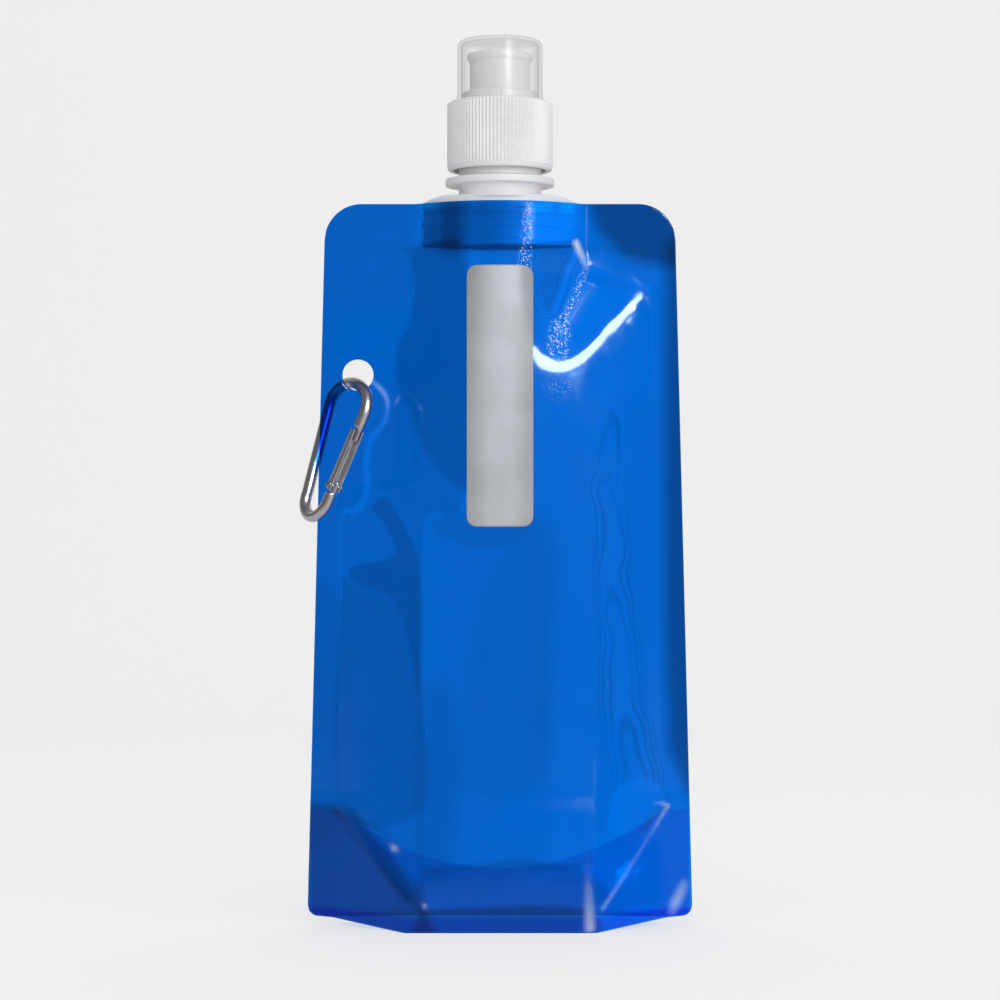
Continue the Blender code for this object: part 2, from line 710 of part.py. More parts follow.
def gate_frame():
    """Frame at the hinge pin: X outwards, Y along the pin, Z down the gate."""
    top = Vector((gate_line(NOSE_DROP), NOSE_DROP))
    low = Vector((gate_line(PIN_DROP), PIN_DROP))
    along = (low - top).normalized()
    frame = Matrix((
        (along.y, 0.0, along.x, low.x), (0.0, 1.0, 0.0, 0.0),
        (-along.x, 0.0, along.y, low.y), (0.0, 0.0, 0.0, 1.0)))
    return carabiner_frame() @ frame


def make_wire(mat):
    """Carabiner body, with its origin on the swing axis in the hanging hole."""
    bm = wire_mesh()
    bmesh.ops.transform(bm, matrix=carabiner_frame(), verts=bm.verts)
    body = new_object("carabiner_body", bm, mat, origin=hole_centre())
    pin = gate_frame()
    cutter = cylinder_mesh(
        PIN_DIAMETER / 2 + GAP, 2 * GATE_WIDTH, pin.translation, pin.col[1].xyz, 16)
    combine(body, new_object("tongue_cutter", cutter, None), "DIFFERENCE")
    return body


def make_gate(mat):
    """Folded channel that closes the loop, open on its outer side."""
    half = GATE_WIDTH / 2
    wall = GATE_WALL
    back = -GATE_DEPTH / 2 - GAP
    front = back + GATE_DEPTH
    section = [
        (front, -half), (back + wall, -half), (back, -half + wall), (back, half - wall),
        (back + wall, half), (front, half), (front, half - wall), (back + wall, half - wall),
        (back + wall, -half + wall), (front, -half + wall)]
    top = NOSE_DROP + WIRE_R / 2 + GAP - PIN_DROP
    rings = []
    for z in (top, GATE_EAR):
        rings.append([(x, y, z) for x, y in section])
    bm = ring_mesh(rings)
    frame = gate_frame()
    bmesh.ops.transform(bm, matrix=frame, verts=bm.verts)
    gate = new_object("carabiner_gate", bm, mat, origin=frame.translation)
    depth = GATE_BACK_CUT + GATE_EAR + GAP
    inner = GATE_WIDTH - 2 * wall
    place = frame @ Matrix.Translation((back, 0.0, depth / 2 - GATE_BACK_CUT))
    slot = box_mesh((4 * wall, inner, depth), place)
    combine(gate, new_object("gate_back_cutter", slot, None), "DIFFERENCE")
    hole = cylinder_mesh(
        PIN_DIAMETER / 2 + GAP, 2 * GATE_WIDTH, frame.translation, frame.col[1].xyz, 16)
    combine(gate, new_object("gate_hole_cutter", hole, None), "DIFFERENCE")
    return gate


def make_pin(mat):
    """Riveted hinge pin of the gate."""
    half = GATE_WIDTH / 2 + GAP
    end = half + PIN_HEAD_THICKNESS
    shaft = PIN_DIAMETER / 2
    head = PIN_HEAD_DIAMETER / 2
    bm = turned_mesh([
        (0, -end), (0, end), (head - GAP, end), (head, end - GAP), (head, half), (shaft, half),
        (shaft, -half), (head, -half), (head, GAP - end), (head - GAP, -end)], steps=16)
    frame = gate_frame()
    turn = frame @ Matrix.Rotation(math.pi / 2, 4, "X")
    bmesh.ops.transform(bm, matrix=turn, verts=bm.verts)
    return new_object("gate_pin", bm, mat, origin=frame.translation)


def make_spring(mat):
    """Bowed wire spring inside the gate, pressing on its back wall."""
    base = -TONGUE_ABOVE_PIN - GAP - SPRING_WIRE / 2
    back = -GATE_DEPTH / 2 + GATE_WALL
    deep = back + SPRING_WIRE / 2
    rings = []
    count = 12
    for i in range(count + 1):
        share = i / count
        x = deep + (1.0 - math.sin(math.pi * share)) * GATE_WALL
        z = base - share * SPRING_LENGTH
        ring = []
        for k in range(8):
            angle = math.tau * k / 8
            ring.append((
                x + SPRING_WIRE / 2 * math.cos(angle), SPRING_WIRE / 2 * math.sin(angle), z))
        rings.append(ring)
    bm = ring_mesh(rings)
    frame = gate_frame()
    bmesh.ops.transform(bm, matrix=frame, verts=bm.verts)
    return new_object("gate_spring", bm, mat, origin=frame.translation)


def keep_place(child, parent):
    """Parent a piece without moving it."""
    child.parent = parent
    child.matrix_parent_inverse = Matrix.Translation(-parent.location)


def main():
    """Build the whole bottle."""
    for obj in list(bpy.data.objects):
        bpy.data.objects.remove(obj, do_unlink=True)
    mats = make_materials()

    make_panel("front_film", -1, mats["film"])
    make_panel("back_film", 1, mats["film"])
    sheet("bottom_gusset", 22, 14, gusset_place, FILM, mats["film"])
    make_label(mats["label"])
    make_spout(mats["white"])

    liner = make_liner(mats["liner"])
    cap = make_cap(mats["white"])
    keep_place(cap, liner)
    keep_place(make_nozzle(mats["white"]), cap)
    keep_place(make_dust_cap(mats["clear"]), cap)

    wire = make_wire(mats["aluminium"])
    gate = make_gate(mats["aluminium"])
    keep_place(make_pin(mats["steel"]), wire)
    keep_place(gate, wire)
    keep_place(make_spring(mats["steel"]), gate)


main()
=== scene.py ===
"""Looks of the collapsible water bottle, in metres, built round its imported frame."""

import math
from functools import partial

import bmesh
import bpy
import numpy as np
from mathutils import Matrix, Vector

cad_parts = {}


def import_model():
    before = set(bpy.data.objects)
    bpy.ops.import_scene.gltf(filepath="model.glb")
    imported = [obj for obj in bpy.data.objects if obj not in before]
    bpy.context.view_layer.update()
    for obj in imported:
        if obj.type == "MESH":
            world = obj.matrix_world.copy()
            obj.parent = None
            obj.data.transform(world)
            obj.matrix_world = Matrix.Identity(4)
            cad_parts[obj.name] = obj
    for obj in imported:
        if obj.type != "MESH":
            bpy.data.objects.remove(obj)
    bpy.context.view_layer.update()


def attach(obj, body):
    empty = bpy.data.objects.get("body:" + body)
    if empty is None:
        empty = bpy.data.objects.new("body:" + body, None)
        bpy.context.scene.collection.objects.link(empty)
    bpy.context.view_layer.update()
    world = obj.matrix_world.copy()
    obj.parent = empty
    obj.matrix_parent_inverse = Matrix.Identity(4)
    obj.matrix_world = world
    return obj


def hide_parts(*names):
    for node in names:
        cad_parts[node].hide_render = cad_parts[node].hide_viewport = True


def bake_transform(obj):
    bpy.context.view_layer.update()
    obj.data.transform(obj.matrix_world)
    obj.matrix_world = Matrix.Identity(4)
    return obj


MM = 0.001

# Gap that the source leaves between pieces that touch
GAP = 0.3 * MM

# Pouch, as in the source
POUCH_HEIGHT = 219.5 * MM
BASE_WIDTH = 117.4 * MM
TOP_WIDTH = 106.4 * MM
FILM = 0.3 * MM
TOP_CORNER_RADIUS = 11.0 * MM
BASE_CORNER_RADIUS = 3.0 * MM
SIDE_SEAL = 8.0 * MM
TOP_SEAL = 13.0 * MM
BELLY_DEPTH = 12.5 * MM
BELLY_FULLNESS = 0.8
SHOULDER_DROP = 60.0 * MM
FOOT_DEPTH = 16.5 * MM
FOOT_FLAT = 57.0 * MM
FOOT_UPRIGHT = 9.0 * MM
FOOT_RISE = 58.0 * MM
FOOT_CORNER_LIFT = 3.0 * MM
FOLD_APEX_HEIGHT = 35.0 * MM
FOLD_SAG_HEIGHT = 17.0 * MM
FOLD_HEM_STEP = 0.5 * MM
FOLD_DRAW = 0.97
FOLD_BEND_SHARE = 2.0 / 7.0
LAYER_STEP_HEIGHT = 6.0 * MM

# Hanging hole and the widened seal round it
HOLE_DIAMETER = 9.5 * MM
HOLE_HEIGHT = 167.4 * MM
HOLE_INSET = 11.2 * MM
PATCH_REACH = 12.0 * MM
PATCH_ABOVE_HOLE = 14.0 * MM
PATCH_BELOW_HOLE = 40.0 * MM
PATCH_FADE = 10.0 * MM
PATCH_SLOPE = 16.0 * MM

# Write-on label
LABEL_WIDTH = 20.0 * MM
LABEL_HEIGHT = 78.7 * MM
LABEL_TOP_HEIGHT = 200.0 * MM
LABEL_CORNER_RADIUS = 3.0 * MM
LABEL_THICKNESS = 0.2 * MM

# Spout: weld boat, neck, support ring and thread
BOAT_WIDTH = 47.6 * MM
BOAT_DEPTH = 22.0 * MM
BOAT_TIP = 1.0 * MM
BOAT_PROUD = 2.2 * MM
BOAT_RIB = 0.5 * MM
BOAT_RIB_HEIGHT = 1.6 * MM
BOAT_RIBS = 3
BOAT_FILM_MARGIN = 2.2 * MM
BOAT_TAPER_START = 15.5 * MM
NECK_R = 12.6 * MM
NECK_BORE_R = 10.3 * MM
NECK_LENGTH = 24.9 * MM
RING_R = 16.6 * MM
RING_THICKNESS = 2.7 * MM
RING_RIM = 2.1 * MM
RING_ABOVE_BOAT = 3.1 * MM
THREAD_PITCH = 3.18 * MM
THREAD_DEPTH = 1.1 * MM
THREAD_ROOT_WIDTH = 1.8 * MM
THREAD_CREST_WIDTH = 0.9 * MM
THREAD_TURNS = 2.0
THREAD_START = 10.0 * MM

# Screw cap with its sealing disc, post and plug
CAP_R = 16.1 * MM
CAP_ABOVE_RING = 2.0 * MM
CAP_DECK = 2.0 * MM
CAP_THREAD_ROOM = 0.45 * MM
CAP_RIBS = 90
CAP_RIB_DEPTH = 0.45 * MM
CAP_SKIRT_BAND = 1.4 * MM
CAP_EDGE = 0.6 * MM
CAP_EDGE_RISE = 0.4 * MM
CAP_RIB_FADE = 0.2 * MM
CAP_SHOULDER = 0.9 * MM
LINER_THICKNESS = 1.2 * MM
LINER_HOLE_R = 8.0 * MM
COLLAR_R = 11.7 * MM
COLLAR_HEIGHT = 2.8 * MM
POST_R = 7.2 * MM
POST_WALL = 1.6 * MM
POST_HEIGHT = 9.6 * MM
POST_BEAD = 0.5 * MM
POST_BEAD_HEIGHT = 0.8 * MM
PLUG_R = 2.6 * MM
PLUG_SPOKES = 3
SPOKE_WIDTH = 1.2 * MM
SPOKE_HEIGHT = 6.0 * MM

# Drinking nozzle and dust cap
NOZZLE_R = 9.2 * MM
NOZZLE_HEIGHT = 13.0 * MM
NOZZLE_LIP_HEIGHT = 0.9 * MM
NOZZLE_RIM_R = 10.0 * MM
NOZZLE_RIM_HEIGHT = 1.7 * MM
NOZZLE_CROWN = 1.5 * MM
NOZZLE_ROOF = 1.3 * MM
DUST_CAP_R = 13.0 * MM
DUST_CAP_HEIGHT = 18.6 * MM
DUST_CAP_TOP = 1.0 * MM
DUST_CAP_CORNER = 2.0 * MM
DUST_CAP_FLARE = 0.2 * MM
DUST_CAP_FLARE_HEIGHT = 1.5 * MM

# Carabiner
WIRE_R = 1.75 * MM
CARABINER_TILT = math.radians(21.0)
CARABINER_TURN = math.radians(53.0)
CARABINER_DROP = 42.6 * MM
BEND_TOP_HALF = 10.0 * MM
BEND_TOP_DROP = 7.5 * MM
BEND_BASE_RADIUS = 6.0 * MM
BEND_BASE_SHIFT = 2.4 * MM
NOSE_DROP = 12.0 * MM
PIN_DROP = 31.5 * MM
TONGUE_LENGTH = 4.4 * MM
TONGUE_HALF_THICKNESS = 0.8 * MM
TONGUE_HALF_DEPTH = 1.3 * MM
TONGUE_ABOVE_PIN = 1.35 * MM
SHOULDER_BELOW_PIN = 2.7 * MM
TONGUE_TAPER = 0.9 * MM
GATE_WIDTH = 3.7 * MM
GATE_DEPTH = 3.0 * MM
GATE_WALL = 0.5 * MM
GATE_CORNER = 0.9 * MM
GATE_EAR = 1.4 * MM
GATE_BACK_CUT = 1.5 * MM
PIN_R = 0.65 * MM
PIN_HEAD_R = 1.1 * MM
PIN_HEAD_THICKNESS = 0.5 * MM
SPRING_WIRE = 0.5 * MM
SPRING_LENGTH = 11.0 * MM

# Film that drapes off the boat
DRAPE_HALF = 36.0 * MM
DRAPE_DROP = 14.0 * MM

# Emptying: travel of the front wall, share of its swell that a film keeps, length below the
# boat that stays still, and length over which the travel then grows
COLLAPSE = 9.0 * MM
KEPT_SWELL = 0.25
STILL_DROP = 2.0 * MM
HANG_DROP = 40.0 * MM

# Heights that follow from the sizes above
BOAT_BASE_Z = POUCH_HEIGHT - TOP_SEAL
BOAT_TOP_Z = POUCH_HEIGHT + BOAT_PROUD
RING_BASE_Z = BOAT_TOP_Z + RING_ABOVE_BOAT
RING_TOP_Z = RING_BASE_Z + RING_THICKNESS
NECK_RIM_Z = BOAT_TOP_Z + NECK_LENGTH
CAP_BASE_Z = RING_TOP_Z + CAP_ABOVE_RING
LINER_BASE_Z = NECK_RIM_Z + GAP
DECK_BASE_Z = LINER_BASE_Z + LINER_THICKNESS + GAP
DECK_TOP_Z = DECK_BASE_Z + CAP_DECK
COLLAR_TOP_Z = DECK_TOP_Z + COLLAR_HEIGHT
POST_TOP_Z = DECK_TOP_Z + POST_HEIGHT
NOZZLE_BASE_Z = COLLAR_TOP_Z + GAP
NOZZLE_TOP_Z = NOZZLE_BASE_Z + NOZZLE_HEIGHT
DUST_CAP_BASE_Z = DECK_TOP_Z + GAP

# Middle surfaces of films that lie face to face, and other sizes that follow
SEAL_Y = (FILM + GAP) / 2
LAYER_Y = SEAL_Y + FILM + GAP
THREAD_R = NECK_R + THREAD_DEPTH
CAP_BORE_R = THREAD_R + CAP_THREAD_ROOM
POST_BORE_R = POST_R - POST_WALL
BEAD_R = POST_R + POST_BEAD

# Facets round turned pieces, and the grids that sheets and rods are bent from
TURN_STEPS = 96
THREAD_STEPS = 72
FRONT_GRID = (150, 290)
BACK_GRID = (100, 170)
GUSSET_GRID = (110, 56)
LABEL_GRID = (36, 110)
PAPER_GRID = (2, 60)
SPRING_GRID = (12, 24)
WIRE_FACETS = 28
GATE_ROWS = 40

# Edges sharper than this stay crisp, and vertices closer than this become one
SHARP_ANGLE = math.radians(35.0)
SAME_SPOT = 0.001 * MM

# Rounding of rims
SPOUT_SOFT = 0.3 * MM
SPOKE_SOFT = 0.2 * MM
PLUG_SOFT = 0.4 * MM
LINER_SOFT = 0.15 * MM
NOZZLE_SOFT = 0.25 * MM
DUST_CAP_SOFT = 0.12 * MM
TONGUE_SOFT = 0.25 * MM
GATE_SOFT = 0.12 * MM
RIVET_SOFT = 0.08 * MM

# Camera, level with the middle of the bottle, and its lens in millimetres
CAMERA_PLACE = (0.0, -0.83, 0.1293)
LENS = 98.0
SENSOR_WIDTH = 36.0

# Soft boxes: name, place, target, size, brightness and whether they show in gloss alone
LAMPS = (
    ("sheen_box_0", (0.69, -1.04, 0.385), (0.0, 0.0, 0.2), (0.12, 0.15), 40.0, True),
    ("sheen_box_1", (0.46, -0.986, 0.682), (0.0, 0.0, 0.18), (0.32, 0.32), 60.0, True),
    ("right_key", (1.1, -0.8, 0.4), (0.0, 0.0, 0.14), (0.5, 0.9), 2.1, False),
    ("front_fill", (0.2, -1.3, 0.3), (0.0, 0.0, 0.14), (1.0, 1.0), 1.8, False),
    ("top_fill", (0.0, 0.1, 1.2), (0.0, 0.0, 0.14), (1.2, 1.2), 1.2, False),
)

# Strength of the world: in shade, in gloss and to the eye, where it matches the paper
WORLD_LIGHT = 0.4
WORLD_GLOSS = 0.13
WORLD_SEEN = 0.83

# Studio paper: half its width, its flat run, its bend, its rise and how far it starts in front
PAPER_HALF = 2.0
PAPER_FLAT = 1.6
PAPER_BEND = 0.4
PAPER_RISE = 1.2
PAPER_FRONT = 0.9


# Small helpers


def ease(value):
    """Smooth step from 0 to 1 while the value goes from 0 to 1."""
    value = np.clip(value, 0.0, 1.0)
    return value * value * (3.0 - 2.0 * value)


def between(low, high, share):
    """Value at a share of the way from low to high."""
    return low + (high - low) * share


def colour(code):
    """Linear colour of an sRGB hex code."""
    parts = [int(code[i:i + 2], 16) / 255 for i in (1, 3, 5)]
    linear = [p / 12.92 if p <= 0.04045 else ((p + 0.055) / 1.055) ** 2.4 for p in parts]
    return (*linear, 1.0)


def add_node(tree, kind, inputs=None, **settings):
    """Shader node with its settings, values and links; a node stands for its first output."""
    made = tree.nodes.new("ShaderNode" + kind)
    for name, value in settings.items():
        setattr(made, name, value)
    for name, value in (inputs or {}).items():
        if isinstance(value, bpy.types.Node):
            value = value.outputs[0]
        if isinstance(value, bpy.types.NodeSocket):
            tree.links.new(value, made.inputs[name])
        else:
            made.inputs[name].default_value = value
    return made


def new_material(name):
    """Empty material, the function that adds its nodes, and its Object coordinates."""
    mat = bpy.data.materials.new(name)
    mat.use_nodes = True
    mat.node_tree.nodes.clear()
    add = partial(add_node, mat.node_tree)
    return mat, add, add("TexCoord").outputs["Object"]


def surfaced(mat, shader):
    """Material with its surface shader plugged in."""
    add_node(mat.node_tree, "OutputMaterial", {"Surface": shader})
    return mat


def flat_grid(columns, rows):
    """Grid, and how far across and along it each vertex lies, from -1 to 1."""
    bm = bmesh.new()
    bmesh.ops.create_grid(bm, x_segments=columns, y_segments=rows, size=1.0)
    across, along = np.array([vert.co.xy for vert in bm.verts]).T
    return bm, across, along


def bunched(across, amount):
    """Places across a sheet, from -1 to 1, drawn towards both edges by an amount."""
    return between(across, np.sin(across * math.pi / 2), amount)


def move_to(bm, x, y, z):
    """Move the vertices of a grid to their places."""
    for vert, spot in zip(bm.verts, zip(x, y, z)):
        vert.co = spot


def bent_grid(columns, rows, place):
    """Grid bent by place(share across, share along)."""
    bm, _, _ = flat_grid(columns, rows)
    for vert in bm.verts:
        vert.co = place((vert.co.x + 1.0) / 2, (vert.co.y + 1.0) / 2)
    return bm


def arc(x, y, wide, high, start, end, steps):
    """Points of an arc round a middle, from one angle in degrees to another."""
    angles = np.radians(np.linspace(start, end, steps + 1))
    return [(x + wide * math.cos(angle), y + high * math.sin(angle)) for angle in angles]


def mesh_object(name, bm, mat):
    """Smooth object from a bmesh, at the origin."""
    mesh = bpy.data.meshes.new(name)
    bm.to_mesh(mesh)
    bm.free()
    mesh.shade_smooth()
    mesh.set_sharp_from_angle(angle=SHARP_ANGLE)
    mesh.materials.append(mat)
    obj = bpy.data.objects.new(name, mesh)
    bpy.context.collection.objects.link(obj)
    return obj


# Shape of the film


def half_width(z):
    """Half the pouch's width at a height."""
    return between(BASE_WIDTH, TOP_WIDTH, z / POUCH_HEIGHT) / 2


HOLE_X = HOLE_INSET - half_width(HOLE_HEIGHT)


def corner_drop(x, half, radius):
    """How far a rounded outline falls away from its edge at x."""
    past = np.clip(np.abs(x) - (half - radius), 0.0, radius)
    return radius - np.sqrt(radius * radius - past * past)


def patch_reach(z):
    """Extra width of the left seal round the hanging hole."""
    above = ease((HOLE_HEIGHT + PATCH_ABOVE_HOLE - z) / PATCH_FADE)
    below = ease((z - HOLE_HEIGHT + PATCH_BELOW_HOLE) / PATCH_FADE)
    return PATCH_REACH * above * below


def hem_height(x):
    """Height of the pouch's bottom edge."""
    half_flat = FOOT_FLAT / 2
    reach = BASE_WIDTH / 2 - half_flat
    lift = FOOT_CORNER_LIFT * np.maximum(np.abs(x) - half_flat, 0.0) / reach
    return lift + corner_drop(x, BASE_WIDTH / 2, BASE_CORNER_RADIUS)


def film_depth(x, z):
    """Distance of a film panel from the pouch's middle plane, before creases."""
    right = half_width(z) - SIDE_SEAL
    share = np.clip((x + right) / (2.0 * right), 0.0, 1.0)
    belly = BELLY_DEPTH * (4.0 * share * (1.0 - share)) ** BELLY_FULLNESS
    past_patch = ease((x + right - patch_reach(z)) / PATCH_SLOPE)
    belly *= between(1.0, past_patch, patch_reach(z) / PATCH_REACH)
    over_boat = BOAT_DEPTH / 2 + GAP + FILM / 2 - SEAL_Y
    at_boat = np.maximum(1.0 - (x / (BOAT_WIDTH / 2 + BOAT_FILM_MARGIN)) ** 2, 0.0)
    below_boat = ease(1.0 - np.abs(x) / DRAPE_HALF)
    near_boat = ease((z - BOAT_BASE_Z + DRAPE_DROP) / DRAPE_DROP)
    crown = over_boat * between(below_boat, at_boat, near_boat)
    towards_top = ease((z - BOAT_BASE_Z + SHOULDER_DROP) / SHOULDER_DROP)
    foot = FOOT_DEPTH * np.clip((right - np.abs(x)) / (right - FOOT_FLAT / 2), 0.0, 1.0)
    towards_foot = 1.0 - ease((z - FOOT_UPRIGHT) / FOOT_RISE)
    layers = ease((z - FOLD_APEX_HEIGHT) / LAYER_STEP_HEIGHT)
    swell = between(between(belly, crown, towards_top), foot, towards_foot)
    return between(LAYER_Y, SEAL_Y, layers) + swell


def smooth_path(points):
    """Points in millimetres joined by a smooth curve, in metres."""
    spots = np.array(points, float) * MM
    ends = np.vstack([2 * spots[0] - spots[1], spots, 2 * spots[-1] - spots[-2]])
    path = []
    for a, b, c, d in zip(ends, ends[1:], ends[2:], ends[3:]):
        for t in np.arange(8) / 8:
            path.append(0.5 * (
                2 * b + (c - a) * t + (2 * a - 5 * b + 4 * c - d) * t ** 2
                + (3 * b - a - 3 * c + d) * t ** 3))
    return np.array(path + [spots[-1]])


def near_path(path, x, z):
    """Distance from a path, its side (positive on the left) and the share along it."""
    spot = np.stack([x, z], axis=-1)
    best = np.full(x.shape, np.inf)
    side = np.zeros(x.shape)
    share = np.zeros(x.shape)
    count = len(path) - 1
    for i in range(count):
        run = path[i + 1] - path[i]
        off = spot - path[i]
        t = np.clip((off @ run) / (run @ run), 0.0, 1.0)
        away = np.linalg.norm(off - t[..., None] * run, axis=-1)
        closer = away < best
        best = np.where(closer, away, best)
        side = np.where(closer, run[0] * off[..., 1] - run[1] * off[..., 0], side)
        share = np.where(closer, (i + t) / count, share)
    return best, side, share


def inside_outline(outline, x, z, feather):
    """Soft mask of a closed outline in millimetres: 1 well inside, 0 well outside."""
    path = smooth_path(list(outline) + [outline[0]])
    away, _, _ = near_path(path, x, z)
    inside = np.zeros(x.shape, bool)
    for (ax, az), (bx, bz) in zip(path, np.roll(path, -1, axis=0)):
        crosses = (az > z) != (bz > z)
        at = ax + (z - az) * (bx - ax) / np.where(bz == az, 1e-12, bz - az)
        inside ^= crosses & (x < at)
    return ease(0.5 + np.where(inside, away, -away) / (feather * MM))


def ridge(points, heights, width, x, z):
    """Soft ridge along a path in millimetres, from its heights at even shares and its width."""
    away, _, share = near_path(smooth_path(points), x, z)
    height = np.interp(share, np.linspace(0.0, 1.0, len(heights)), heights)
    return height * np.exp(-(away / (width * MM)) ** 2)


def kept_in_zones(zones, x, z):
    """Share that is kept at a place, from soft zones."""
    kept = np.ones(x.shape)
    for outline, feather, share in zones:
        kept *= 1.0 - (1.0 - share) * inside_outline(outline, x, z, feather)
    return kept


# Dent in the right shoulder: its lowest point, how round its lower rim is seen from the
# front, how round the fold along the rim is, slope inside the rim and reach of that slope
DENT_LOW = (18.5 * MM, 172.5 * MM)
DENT_ROUND = 4.0 * MM
DENT_EDGE = 3.0 * MM
DENT_SLOPE = 0.34
DENT_REACH = 8.0 * MM
# Line where the dent ends above: its right tip and its rise towards the boat
DENT_TIP = (45.5 * MM, 193.5 * MM)
DENT_RISE = 0.43
DENT_FADE = (2.0 * MM, 11.0 * MM)
DENT_LEFT = (5.0 * MM, 12.0 * MM)

# Raised fold round the dent: its path and heights in millimetres, and its widths on the
# outer and on the inner side
FOLD_PATH = (
    (7.7, 175.2), (9.5, 173.0), (11.9, 170.5), (14.9, 168.7), (18.1, 168.1), (21.9, 169.5),
    (26.3, 172.8), (30.6, 177.7), (33.4, 184.5), (38.8, 188.9), (44.0, 190.7), (47.6, 191.6),
    (47.3, 195.1))
FOLD_HEIGHTS = (0.0, 0.28, 0.51, 0.78, 0.97, 1.16, 1.45, 1.78, 1.84, 1.34, 1.73, 2.19, 0.05)
FOLD_OUTSIDE = 10.0 * MM
FOLD_INSIDE = 7.5 * MM
FOLD_START = 1.25 * MM

# Creases grow with the swell of the film, and end above the base of the boat
CREASE_SWELL = 2.0 * MM
CREASE_END = 1.0 * MM
CREASE_FADE = 3.0 * MM

# Creases of the front film: path in millimetres, heights outwards along it and width
CREASES = (
    ([(22.8, 206.0), (24.2, 202.8), (26.2, 198.4)], (0.3, 0.9, 0.0), 1.3),
    ([(-24.0, 204.0), (-22.2, 195.4), (-23.8, 184.0), (-27.1, 174.8), (-32.9, 165.8)],
     (0.0, 0.8, 0.9, 0.6, 0.0), 4.5),
    ([(-39.5, 166.0), (-36.5, 162.8), (-35.4, 157.5), (-37.2, 150.0), (-40.0, 143.0),
      (-41.0, 132.0)], (0.2, 0.4, 0.35, 0.25, 0.2, 0.0), 0.9),
    ([(49.0, 38.0), (41.0, 27.0), (31.0, 4.0)], (0.0, 0.8, 0.2), 1.8),
    ([(-48.5, 37.0), (-38.0, 22.0), (-26.0, 6.0)], (0.0, 0.8, 0.2), 1.8),
)

# Hem, where a single wall shows against the floor and is darker partly by its weld and partly by
# painted shade for the floor's shadow under the pouch: its top, its soft edge, and the shares of
# green light that the front film and of all light that the rear film lose there
HEM_TOP = 6.0 * MM
HEM_EDGE = 2.0 * MM
HEM_WELD_AND_PAINTED_SHADE_GREEN = 0.42
REAR_HEM_WELD_AND_PAINTED_SHADE = 0.3

# Places where the film shines less: outline in millimetres, soft edge and share of gloss kept
DULL_ZONES = (
    ([(20, 146), (27, 169), (37, 176), (43.5, 183), (48, 187), (48, 176), (40, 146)], 4.0, 0.08),
    ([(-50, 188), (-20, 184), (-20, 164), (-50, 168)], 6.0, 0.03),
    ([(24, 62), (36, 62), (36, 16), (24, 16)], 4.0, 0.1),
    ([(30, 26), (48, 26), (48, 6), (30, 6)], 4.0, 0.12),
    ([(16, 190), (26, 201), (34, 200), (31, 187), (20, 177)], 4.0, 0.08),
    ([(4, 221), (12, 221), (12, 203), (4, 203)], 3.0, 0.25),
    ([(14, 152), (16, 162), (20, 165.5), (24, 168.2), (28, 171.5), (31, 175), (37, 162), (36, 146),
      (22, 146)], 2.5, 0.06),
    ([(35.6, 187), (45.3, 194.1), (42.3, 197), (33.8, 190.8)], 1.5, 0.1),
    ([(37, 180.5), (39, 183), (41.5, 186.7), (45.6, 194), (49, 193.4), (47, 184),
      (42, 177)], 1.5, 0.1),
    ([(24.5, 220), (29.5, 220), (29.5, 204), (24.5, 204)], 1.5, 0.25),
    ([(2, 43), (33, 43), (33, 31), (2, 31)], 4.0, 0.2),
)
REAR_DULL_ZONES = (
    ([(-16, 209), (-6, 209), (-6, 193), (-16, 193)], 4.0, 0.1),
    ([(-48, 186), (-24, 186), (-24, 170), (-48, 170)], 4.0, 0.1),
)
